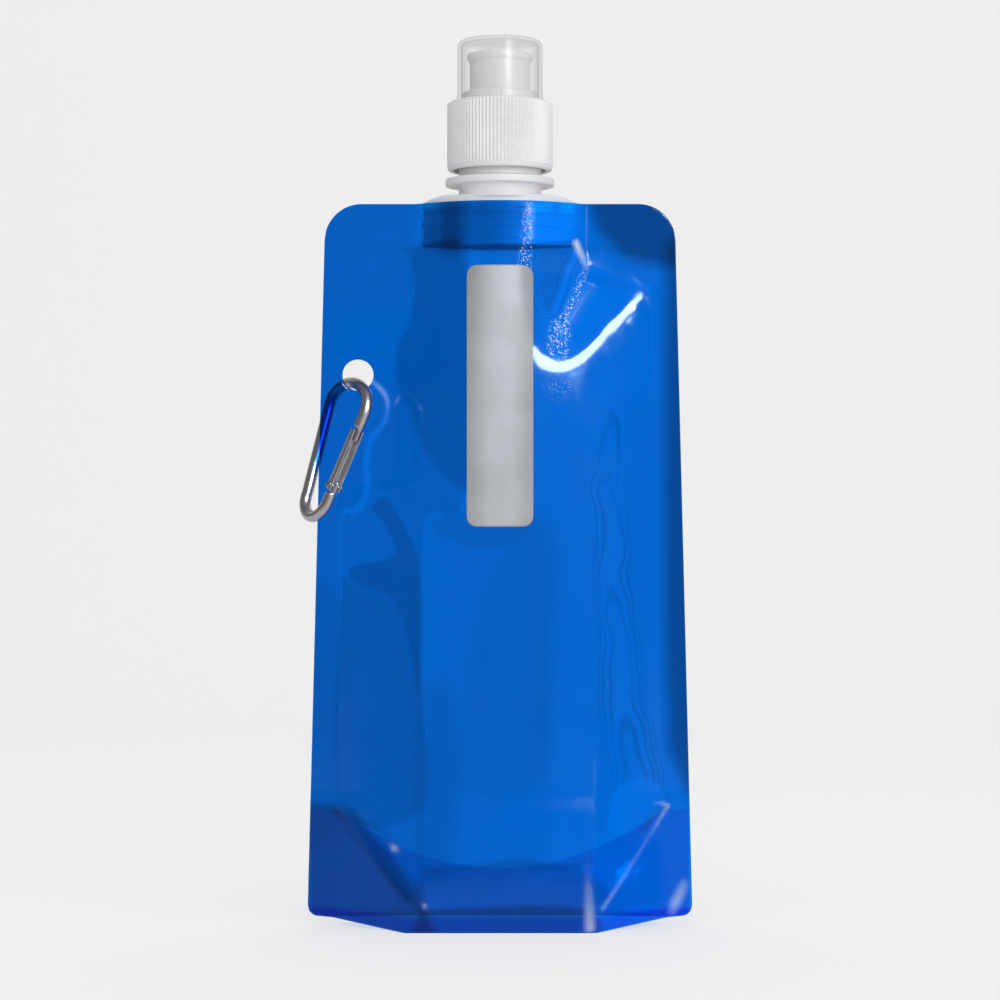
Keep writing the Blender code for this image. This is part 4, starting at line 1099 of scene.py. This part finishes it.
def make_dust_cap(mat):
    """Clear cap over the nozzle, flared at its foot."""
    inner = COLLAR_R + GAP
    top = DUST_CAP_BASE_Z + DUST_CAP_HEIGHT
    roof = top - DUST_CAP_TOP
    corner, round_in = DUST_CAP_CORNER, DUST_CAP_TOP
    flare_r = DUST_CAP_R + DUST_CAP_FLARE
    flare_z = DUST_CAP_BASE_Z + DUST_CAP_FLARE_HEIGHT
    bm = turned([
        (inner, DUST_CAP_BASE_Z), (flare_r, DUST_CAP_BASE_Z), (flare_r, flare_z),
        (DUST_CAP_R, flare_z + 2 * DUST_CAP_FLARE),
        *arc(DUST_CAP_R - corner, top - corner, corner, corner, 0, 90, 8), (0, top), (0, roof),
        *arc(inner - round_in, roof - round_in, round_in, round_in, 90, 0, 6)],
        soft=DUST_CAP_SOFT)
    piece("clear_dust_cap", bm, mat, "cover", "dust_cap")


# Carabiner


def carabiner_frame():
    """Frame of the wire loop: X towards the gate, Y square to the loop, Z down it."""
    tilt = CARABINER_TILT
    down = Vector((-math.sin(tilt), 0.0, -math.cos(tilt)))
    beside = Vector((math.cos(tilt), 0.0, -math.sin(tilt)))
    to_gate = math.cos(CARABINER_TURN) * beside - math.sin(CARABINER_TURN) * Vector((0, 1, 0))
    lean = Vector((-math.sin(tilt / 2), 0.0, -math.cos(tilt / 2)))
    frame = Matrix((to_gate, down.cross(to_gate), down)).transposed().to_4x4()
    hang = HOLE_DIAMETER / 2 - WIRE_R - GAP
    frame.translation = Vector((HOLE_X, 0.0, HOLE_HEIGHT)) + hang * lean
    return frame


def gate_line(drop):
    """Distance of the gate side from the loop's middle line, at a drop."""
    low_drop = CARABINER_DROP - BEND_BASE_RADIUS
    share = (drop - BEND_TOP_DROP) / (low_drop - BEND_TOP_DROP)
    return between(BEND_TOP_HALF, BEND_BASE_SHIFT + BEND_BASE_RADIUS, share)


def wire_line():
    """Points (aside, drop) along the wire, from its nose to its hinge end."""
    line = []
    for i in range(5):
        drop = between(NOSE_DROP, BEND_TOP_DROP, i / 5)
        line.append((gate_line(drop), drop))
    line += arc(0.0, BEND_TOP_DROP, BEND_TOP_HALF, -BEND_TOP_DROP, 0, 180, 32)
    low_drop = CARABINER_DROP - BEND_BASE_RADIUS
    spine_low = BEND_BASE_SHIFT - BEND_BASE_RADIUS
    for i in range(1, 10):
        share = i / 10
        line.append((
            between(-BEND_TOP_HALF, spine_low, share), between(BEND_TOP_DROP, low_drop, share)))
    line += arc(
        BEND_BASE_SHIFT, low_drop, BEND_BASE_RADIUS, -BEND_BASE_RADIUS, 180, 360, 24)
    end = PIN_DROP + SHOULDER_BELOW_PIN
    for share in (0.5, 1.0):
        drop = between(low_drop, end, share)
        line.append((gate_line(drop), drop))
    return [Vector(spot) for spot in line]


def tongue(end, out, length):
    """Rows (place, flatness) from a round end of the wire out to the tip of its flat tongue."""
    rows = [(end + out * share * TONGUE_TAPER, float(ease(share))) for share in (0.25, 0.5, 0.75)]
    return rows + [(end + out * reach, 1.0) for reach in np.linspace(TONGUE_TAPER, length, 5)]


def wire_stations():
    """Rows (place, direction, flatness) along the wire, with a flat tongue at each end."""
    line = wire_line()
    start = (line[1] - line[0]).normalized()
    end = (line[-1] - line[-2]).normalized()
    nose = tongue(line[0], -start, TONGUE_LENGTH)
    hinge = tongue(line[-1], end, SHOULDER_BELOW_PIN + TONGUE_ABOVE_PIN)
    rows = [(spot, start, flat) for spot, flat in nose[::-1]]
    for behind, spot, ahead in zip(line[:1] + line, line, line[1:] + line[-1:]):
        rows.append((spot, (ahead - behind).normalized(), 0.0))
    return rows + [(spot, end, flat) for spot, flat in hinge]


def make_wire(mat):
    """Carabiner body: a polished rod bent to a loop, with a flat tongue at each end."""
    rows = wire_stations()
    frame = carabiner_frame()

    def place(round_share, share):
        spot, along, flat = rows[round(share * (len(rows) - 1))]
        across = Vector((-along.y, along.x))
        angle = math.tau * round_share
        deep = between(WIRE_R, TONGUE_HALF_DEPTH, flat)
        thick = between(WIRE_R, TONGUE_HALF_THICKNESS, flat)
        at = spot + across * ((WIRE_R - TONGUE_HALF_DEPTH) * flat + deep * math.cos(angle))
        return frame @ Vector((at.x, thick * math.sin(angle), at.y))

    bm = swept(WIRE_FACETS, len(rows) - 1, place)
    soften(bm, TONGUE_SOFT, [
        edge for edge in bm.edges if edge.calc_face_angle(0.0) > math.radians(70.0)])
    piece("bent_wire_loop", bm, mat, "carabiner", "carabiner_body")


def gate_frame():
    """Frame at the hinge pin: X outwards, Y along the pin, Z down the gate."""
    top = Vector((gate_line(NOSE_DROP), NOSE_DROP))
    low = Vector((gate_line(PIN_DROP), PIN_DROP))
    along = (low - top).normalized()
    return carabiner_frame() @ Matrix((
        (along.y, 0.0, along.x, low.x), (0.0, 1.0, 0.0, 0.0),
        (-along.x, 0.0, along.y, low.y), (0.0, 0.0, 0.0, 1.0)))


def channel_section():
    """Middle line of the gate's channel: two sides and a back with round corners."""
    half = (GATE_WIDTH - GATE_WALL) / 2
    back = -GATE_DEPTH / 2 - GAP + GATE_WALL / 2
    front = -GATE_DEPTH / 2 - GAP + GATE_DEPTH
    corner = GATE_CORNER
    half_way = between(front, back + corner, 0.5)
    return [
        (front, -half), (half_way, -half),
        *arc(back + corner, corner - half, corner, -corner, 90, 180, 6),
        *arc(back + corner, half - corner, corner, corner, 180, 90, 6),
        (half_way, half), (front, half)]


def make_gate(mat):
    """Gate: a strip folded to a channel, cut out at its hinge end."""
    section = channel_section()
    top = NOSE_DROP + WIRE_R / 2 + GAP - PIN_DROP
    half = (GATE_WIDTH - GATE_WALL) / 2 - GATE_CORNER

    def place(share, along):
        x, y = section[round(share * (len(section) - 1))]
        return Vector((x, y, between(top, GATE_EAR, along)))

    bm = bent_grid(len(section) - 1, GATE_ROWS, place)
    web = [
        face for face in bm.faces
        if abs(face.calc_center_median().y) < half + 0.6 * MM
        and face.calc_center_median().z > -GATE_BACK_CUT]
    bmesh.ops.delete(bm, geom=web, context="FACES")
    bmesh.ops.transform(bm, matrix=gate_frame(), verts=bm.verts)
    gate = piece("folded_gate", bm, mat, "gate", "carabiner_gate")
    wall(gate, GATE_WALL)
    rim = gate.modifiers.new("rim", "BEVEL")
    rim.width = GATE_SOFT
    rim.segments = 2
    rim.limit_method = "ANGLE"
    rim.angle_limit = math.radians(50.0)


def make_pin(mat):
    """Rivet through the hinge, with a domed head on each side."""
    half = GATE_WIDTH / 2 + GAP
    end = half + PIN_HEAD_THICKNESS
    rise = half + 0.15 * MM
    flat = PIN_HEAD_R * 0.6
    bm = turned([
        (0, -end), (flat, -end), (PIN_HEAD_R, -rise), (PIN_HEAD_R, -half), (PIN_R, -half),
        (PIN_R, half), (PIN_HEAD_R, half), (PIN_HEAD_R, rise), (flat, end), (0, end)],
        steps=TURN_STEPS // 3, soft=RIVET_SOFT)
    across = gate_frame() @ Matrix.Rotation(math.pi / 2, 4, "X")
    bmesh.ops.transform(bm, matrix=across, verts=bm.verts)
    piece("hinge_rivet", bm, mat, "carabiner", "gate_pin")


def make_spring(mat):
    """Bowed wire spring inside the gate."""
    base = -TONGUE_ABOVE_PIN - GAP - SPRING_WIRE / 2
    deep = -GATE_DEPTH / 2 + GATE_WALL + SPRING_WIRE / 2
    frame = gate_frame()

    def place(round_share, share):
        bow = deep + (1.0 - math.sin(math.pi * share)) * GATE_WALL
        angle = math.tau * round_share
        x = bow + SPRING_WIRE / 2 * math.cos(angle)
        y = SPRING_WIRE / 2 * math.sin(angle)
        return frame @ Vector((x, y, base - share * SPRING_LENGTH))

    piece("gate_leaf_spring", swept(*SPRING_GRID, place), mat, "gate", "gate_spring")


# Materials

# Light that one face of a film lets through, the share that its haze scatters, and its gloss
# from the front and edge on
FILM_TINT = "#00d3fa"
GUSSET_TINT = "#cbf7fd"
FILM_HAZE = 0.02
FILM_GLOSS = (0.014, 0.5)

# Fine lines where both walls cling: how many to a level, how broad, the light that they take
# and the light between them
LINES_PER_LEVEL = 2.6
LINE_BREADTH = 0.3
LINE_DARK = 0.24
LINE_LIGHT = 0.03

# Painted sparkle, white flecks for the lamp's glints on crumpled film: size, noise where they
# start and where they are full, and white
PAINTED_SPARKLE_SIZE = 0.5 * MM
PAINTED_SPARKLE_NOISE = (0.57, 0.7)
PAINTED_SPARKLE_WHITE = 0.75


def fine_grain(add, spot, size, strength, depth):
    """Bump of a fine noise, from its grain size, strength and depth."""
    grain = add("TexNoise", {"Vector": spot, "Scale": 1 / size, "Detail": 2.0})
    return add("Bump", {"Height": grain, "Strength": strength, "Distance": depth})


def film_material(name, tint):
    """Blue LDPE and PET laminate, cast and glossy: clear, tinted, with a faint grain."""
    mat, add, spot = new_material(name)
    # Light and shade, glints and sparkle painted into the film come from its vertex attributes
    tone, cling, etch, blueness, crumple, fold, shine = [
        add("Attribute", attribute_name=finish).outputs["Fac"]
        for finish in ("tone", "cling", "etch", "blueness", "crumple", "pale", "shine")]
    # Fine lines ring the places where both walls cling: dark, with a faint light between them
    bands = add("Math", {0: cling, 1: LINES_PER_LEVEL}, operation="MULTIPLY")
    saw = add("Math", {0: bands}, operation="FRACT")
    off = add("Math", {0: saw, 1: 0.5}, operation="SUBTRACT")
    gap = add("Math", {0: off}, operation="ABSOLUTE")
    line = add("MapRange", {
        "Value": gap, "From Max": LINE_BREADTH, "To Min": LINE_DARK, "To Max": -LINE_LIGHT})
    dark = add("Math", {0: etch, 1: line}, operation="MULTIPLY")
    light = add("Math", {0: 1.0, 1: dark}, operation="SUBTRACT")
    both = add("Math", {0: tone, 1: light}, operation="MULTIPLY")
    # A solid wall is crossed twice, so each face takes the root
    root = add("Math", {0: both, 1: 0.5}, operation="POWER")
    green = add("Math", {0: root, 1: blueness}, operation="MULTIPLY")
    level = add("CombineColor", {0: root, 1: green, 2: root})
    shade = add("Mix", {
        "Factor": 1.0, 6: colour(tint), 7: level}, data_type="RGBA", blend_type="MULTIPLY")
    clear = add("BsdfTransparent", {"Color": shade.outputs[2]})
    # Grain breaks the rims of highlights; real grain is finer than it shows here
    bump = fine_grain(add, spot, 0.6 * MM, 0.3, 0.05 * MM)
    # Painted glints: white marks along folds and white flecks for sparkle on crumpled film
    specks = add("TexNoise", {"Vector": spot, "Scale": 1 / PAINTED_SPARKLE_SIZE, "Detail": 0.0})
    start, full = PAINTED_SPARKLE_NOISE
    fleck = add("MapRange", {
        "Value": specks, "From Min": start, "From Max": full, "To Max": PAINTED_SPARKLE_WHITE})
    glint = add("Math", {0: crumple, 1: fleck}, operation="MULTIPLY")
    pale = add("Math", {0: fold, 1: glint}, operation="ADD")
    white = add("MapRange", {"Value": pale, "From Max": 0.1})
    haze_and_glint_colour = add("Mix", {
        "Factor": white, 6: colour("#0a4fc4"), 7: colour("#dbe9ff")}, data_type="RGBA")
    haze = add("BsdfPrincipled", {"Base Color": haze_and_glint_colour.outputs[2], "Roughness": 0.3, "Normal": bump})
    haze_and_glint_share = add("Math", {0: pale, 1: FILM_HAZE}, operation="ADD")
    body = add("MixShader", {0: haze_and_glint_share, 1: clear, 2: haze})
    gloss = add("BsdfGlossy", {"Color": colour("#ffffff"), "Roughness": 0.1, "Normal": bump})
    facing = add("LayerWeight", {"Blend": 0.5}).outputs["Facing"]
    steep = add("Math", {0: facing, 1: 5.0}, operation="POWER")
    front, edge = FILM_GLOSS
    share = add("MapRange", {"Value": steep, "To Min": front, "To Max": edge})
    kept = add("Math", {0: share, 1: shine}, operation="MULTIPLY")
    return surfaced(mat, add("MixShader", {0: kept, 1: body, 2: gloss}))


def label_material():
    """Satin silver polyester foil, printed matt: soft grey clouds under an even sheen."""
    mat, add, spot = new_material("satin_silver_foil")
    clouds = add("TexNoise", {
        "Vector": spot, "Scale": 1 / (16.0 * MM), "Detail": 3.0, "Roughness": 0.55})
    tint = add("ValToRGB", {"Fac": clouds})
    for stop, position, code in zip(tint.color_ramp.elements, (0.3, 0.62), ("#b1b3b9", "#bfc2c8")):
        stop.position = position
        stop.color = colour(code)
    # Painted shade: the foil is darker towards its long edges, where it bends away from the light
    axes = add("SeparateXYZ", {0: spot})
    side = add("Math", {0: axes.outputs["X"]}, operation="ABSOLUTE")
    edge = add("MapRange", {
        "Value": side, "From Min": 2.0 * MM, "From Max": 10.0 * MM, "To Min": 1.0, "To Max": 0.72},
        interpolation_type="SMOOTHSTEP")
    shade = add("Mix", {"Factor": 1.0, 6: tint, 7: edge}, data_type="RGBA", blend_type="MULTIPLY")
    return surfaced(mat, add("BsdfPrincipled", {
        "Base Color": shade.outputs[2], "Metallic": 0.15, "Roughness": 0.65,
        "Specular IOR Level": 0.3, "Normal": fine_grain(add, spot, 0.3 * MM, 0.2, 0.03 * MM)}))


def plastic_material(name, code, roughness, inner):
    """Moulded plastic: faint flow clouds and a fine grain under a soft sheen."""
    mat, add, spot = new_material(name)
    flow = add("TexNoise", {"Vector": spot, "Scale": 1 / (6.0 * MM), "Detail": 2.0})
    tint = add("Mix", {"Factor": flow, 6: colour(code), 7: colour(inner)}, data_type="RGBA")
    return surfaced(mat, add("BsdfPrincipled", {
        "Base Color": tint.outputs[2], "Roughness": roughness, "Specular IOR Level": 0.3,
        "Normal": fine_grain(add, spot, 0.5 * MM, 0.1, 0.02 * MM)}))


def clear_material():
    """Natural polypropylene, moulded clear: a little milky, and greyer where it is seen edge on."""
    mat, add, _ = new_material("milky_clear_polypropylene")
    facing = add("LayerWeight", {"Blend": 0.5}).outputs["Facing"]
    passed = add("MapRange", {
        "Value": facing, "From Min": 0.3, "From Max": 1.0, "To Min": 0.99, "To Max": 0.82})
    clear = add("BsdfTransparent", {"Color": passed})
    milk = add("BsdfPrincipled", {"Base Color": colour("#f2f3f5"), "Roughness": 0.2})
    return surfaced(mat, add("MixShader", {0: 0.06, 1: clear, 2: milk}))


def metal_material(name, code, roughness):
    """Polished metal: bright, with fine drawing marks that spread its gloss a little."""
    mat, add, spot = new_material(name)
    marks = add("TexNoise", {"Vector": spot, "Scale": 1 / (0.8 * MM), "Detail": 3.0})
    rough = add("MapRange", {"Value": marks, "To Min": roughness * 0.8, "To Max": roughness * 1.2})
    bump = add("Bump", {"Height": marks, "Strength": 0.08, "Distance": 0.02 * MM})
    return surfaced(mat, add("BsdfPrincipled", {
        "Base Color": colour(code), "Metallic": 1.0, "Roughness": rough, "Normal": bump}))


# Studio


def make_backdrop():
    """Pale floor that sweeps up into a wall behind the bottle."""
    mat, add, spot = new_material("pale_studio_paper")
    paper = add("BsdfDiffuse", {"Color": colour("#efefef")})
    path = add("LightPath").outputs
    # In a mirror the floor fades out towards its front edge, so no line shows on the film
    axes = add("SeparateXYZ", {0: spot})
    fade = add("MapRange", {
        "Value": axes.outputs["Y"], "From Min": -0.85, "From Max": -0.2, "To Min": 0.2,
        "To Max": 0.5}, interpolation_type="SMOOTHSTEP")
    level = add("Mix", {"Factor": path["Is Glossy Ray"], "A": 1.0, "B": fade}, data_type="FLOAT")
    white = add("Emission", {"Color": colour("#ffffff"), "Strength": level})
    # Seen directly or through glass, part of its white is its own; mirrors see that white alone
    eye = add(
        "Math", {0: path["Is Camera Ray"], 1: path["Is Transmission Ray"]}, operation="MAXIMUM")
    plain = add("Math", {0: eye, 1: 0.6}, operation="MULTIPLY")
    share = add("Math", {0: plain, 1: path["Is Glossy Ray"]}, operation="MAXIMUM")
    surfaced(mat, add("MixShader", {0: share, 1: paper, 2: white}))

    bend = PAPER_BEND * math.pi / 2
    level_end = PAPER_FLAT - PAPER_FRONT

    def place(share, along):
        run = between(-PAPER_FRONT, level_end + bend + PAPER_RISE, along)
        past = run - level_end
        angle = min(max(past / PAPER_BEND, 0.0), math.pi / 2)
        y = min(run, level_end) + PAPER_BEND * math.sin(angle)
        z = PAPER_BEND * (1.0 - math.cos(angle)) + max(past - bend, 0.0)
        return Vector((between(-PAPER_HALF, PAPER_HALF, share), y, z))

    bm = bent_grid(*PAPER_GRID, place)
    bmesh.ops.recalc_face_normals(bm, faces=bm.faces)
    mesh_object("studio_paper", bm, mat)


def add_lamp(name, place, target, size, radiance, sheen_only):
    """Soft box: an area lamp of a given brightness, aimed at a target."""
    lamp = bpy.data.lights.new(name, "AREA")
    lamp.shape = "RECTANGLE"
    lamp.size, lamp.size_y = size
    lamp.energy = radiance * math.pi * size[0] * size[1]
    obj = bpy.data.objects.new(name, lamp)
    bpy.context.collection.objects.link(obj)
    obj.location = place
    aim = Vector(target) - Vector(place)
    obj.rotation_euler = aim.to_track_quat("-Z", "Y").to_euler()
    obj.visible_glossy = sheen_only
    obj.visible_diffuse = not sheen_only


def make_studio():
    """Camera, world and lamps."""
    scene = bpy.context.scene
    scene.view_settings.view_transform = "Standard"
    scene.cycles.transparent_max_bounces = 24

    cam = bpy.data.cameras.new("front_camera")
    cam.lens = LENS
    cam.sensor_width = SENSOR_WIDTH
    camera = bpy.data.objects.new("front_camera", cam)
    camera.location = CAMERA_PLACE
    camera.rotation_euler = (math.pi / 2, 0.0, 0.0)
    bpy.context.collection.objects.link(camera)
    scene.camera = camera

    world = bpy.data.worlds.new("studio_world")
    scene.world = world
    world.use_nodes = True
    world.node_tree.nodes.clear()
    add = partial(add_node, world.node_tree)
    path = add("LightPath").outputs
    light = add("MapRange", {
        "Value": path["Is Glossy Ray"], "To Min": WORLD_LIGHT, "To Max": WORLD_GLOSS})
    level = add("Mix", {
        "Factor": path["Is Camera Ray"], "A": light, "B": WORLD_SEEN}, data_type="FLOAT")
    sky = add("Background", {"Color": colour("#ffffff"), "Strength": level})
    add("OutputWorld", {"Surface": sky})

    for lamp in LAMPS:
        add_lamp(*lamp)


def main():
    """Dress the frame, light it and finish."""
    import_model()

    make_films(film_material("blue_laminate_film", FILM_TINT))
    make_gusset(film_material("pale_film_gusset", GUSSET_TINT))
    make_label(label_material())

    # Injection-moulded polypropylene looks an even, satin white; pressed foam is warm and dull
    white = plastic_material("white_polypropylene", "#f1f1f2", 0.5, "#e8e8ea")
    make_spout(white)
    make_liner(plastic_material("liner_foam", "#dedcd6", 0.7, "#d2d0ca"))
    make_cap(white)
    make_nozzle(white)
    make_dust_cap(clear_material())

    # Drawn and polished aluminium is pale and bright, and spring steel is darker
    aluminium = metal_material("polished_aluminium", "#dcd8da", 0.3)
    steel = metal_material("spring_steel", "#b0b0b2", 0.3)
    make_wire(aluminium)
    make_gate(aluminium)
    make_pin(steel)
    make_spring(steel)

    make_backdrop()
    make_studio()


main()
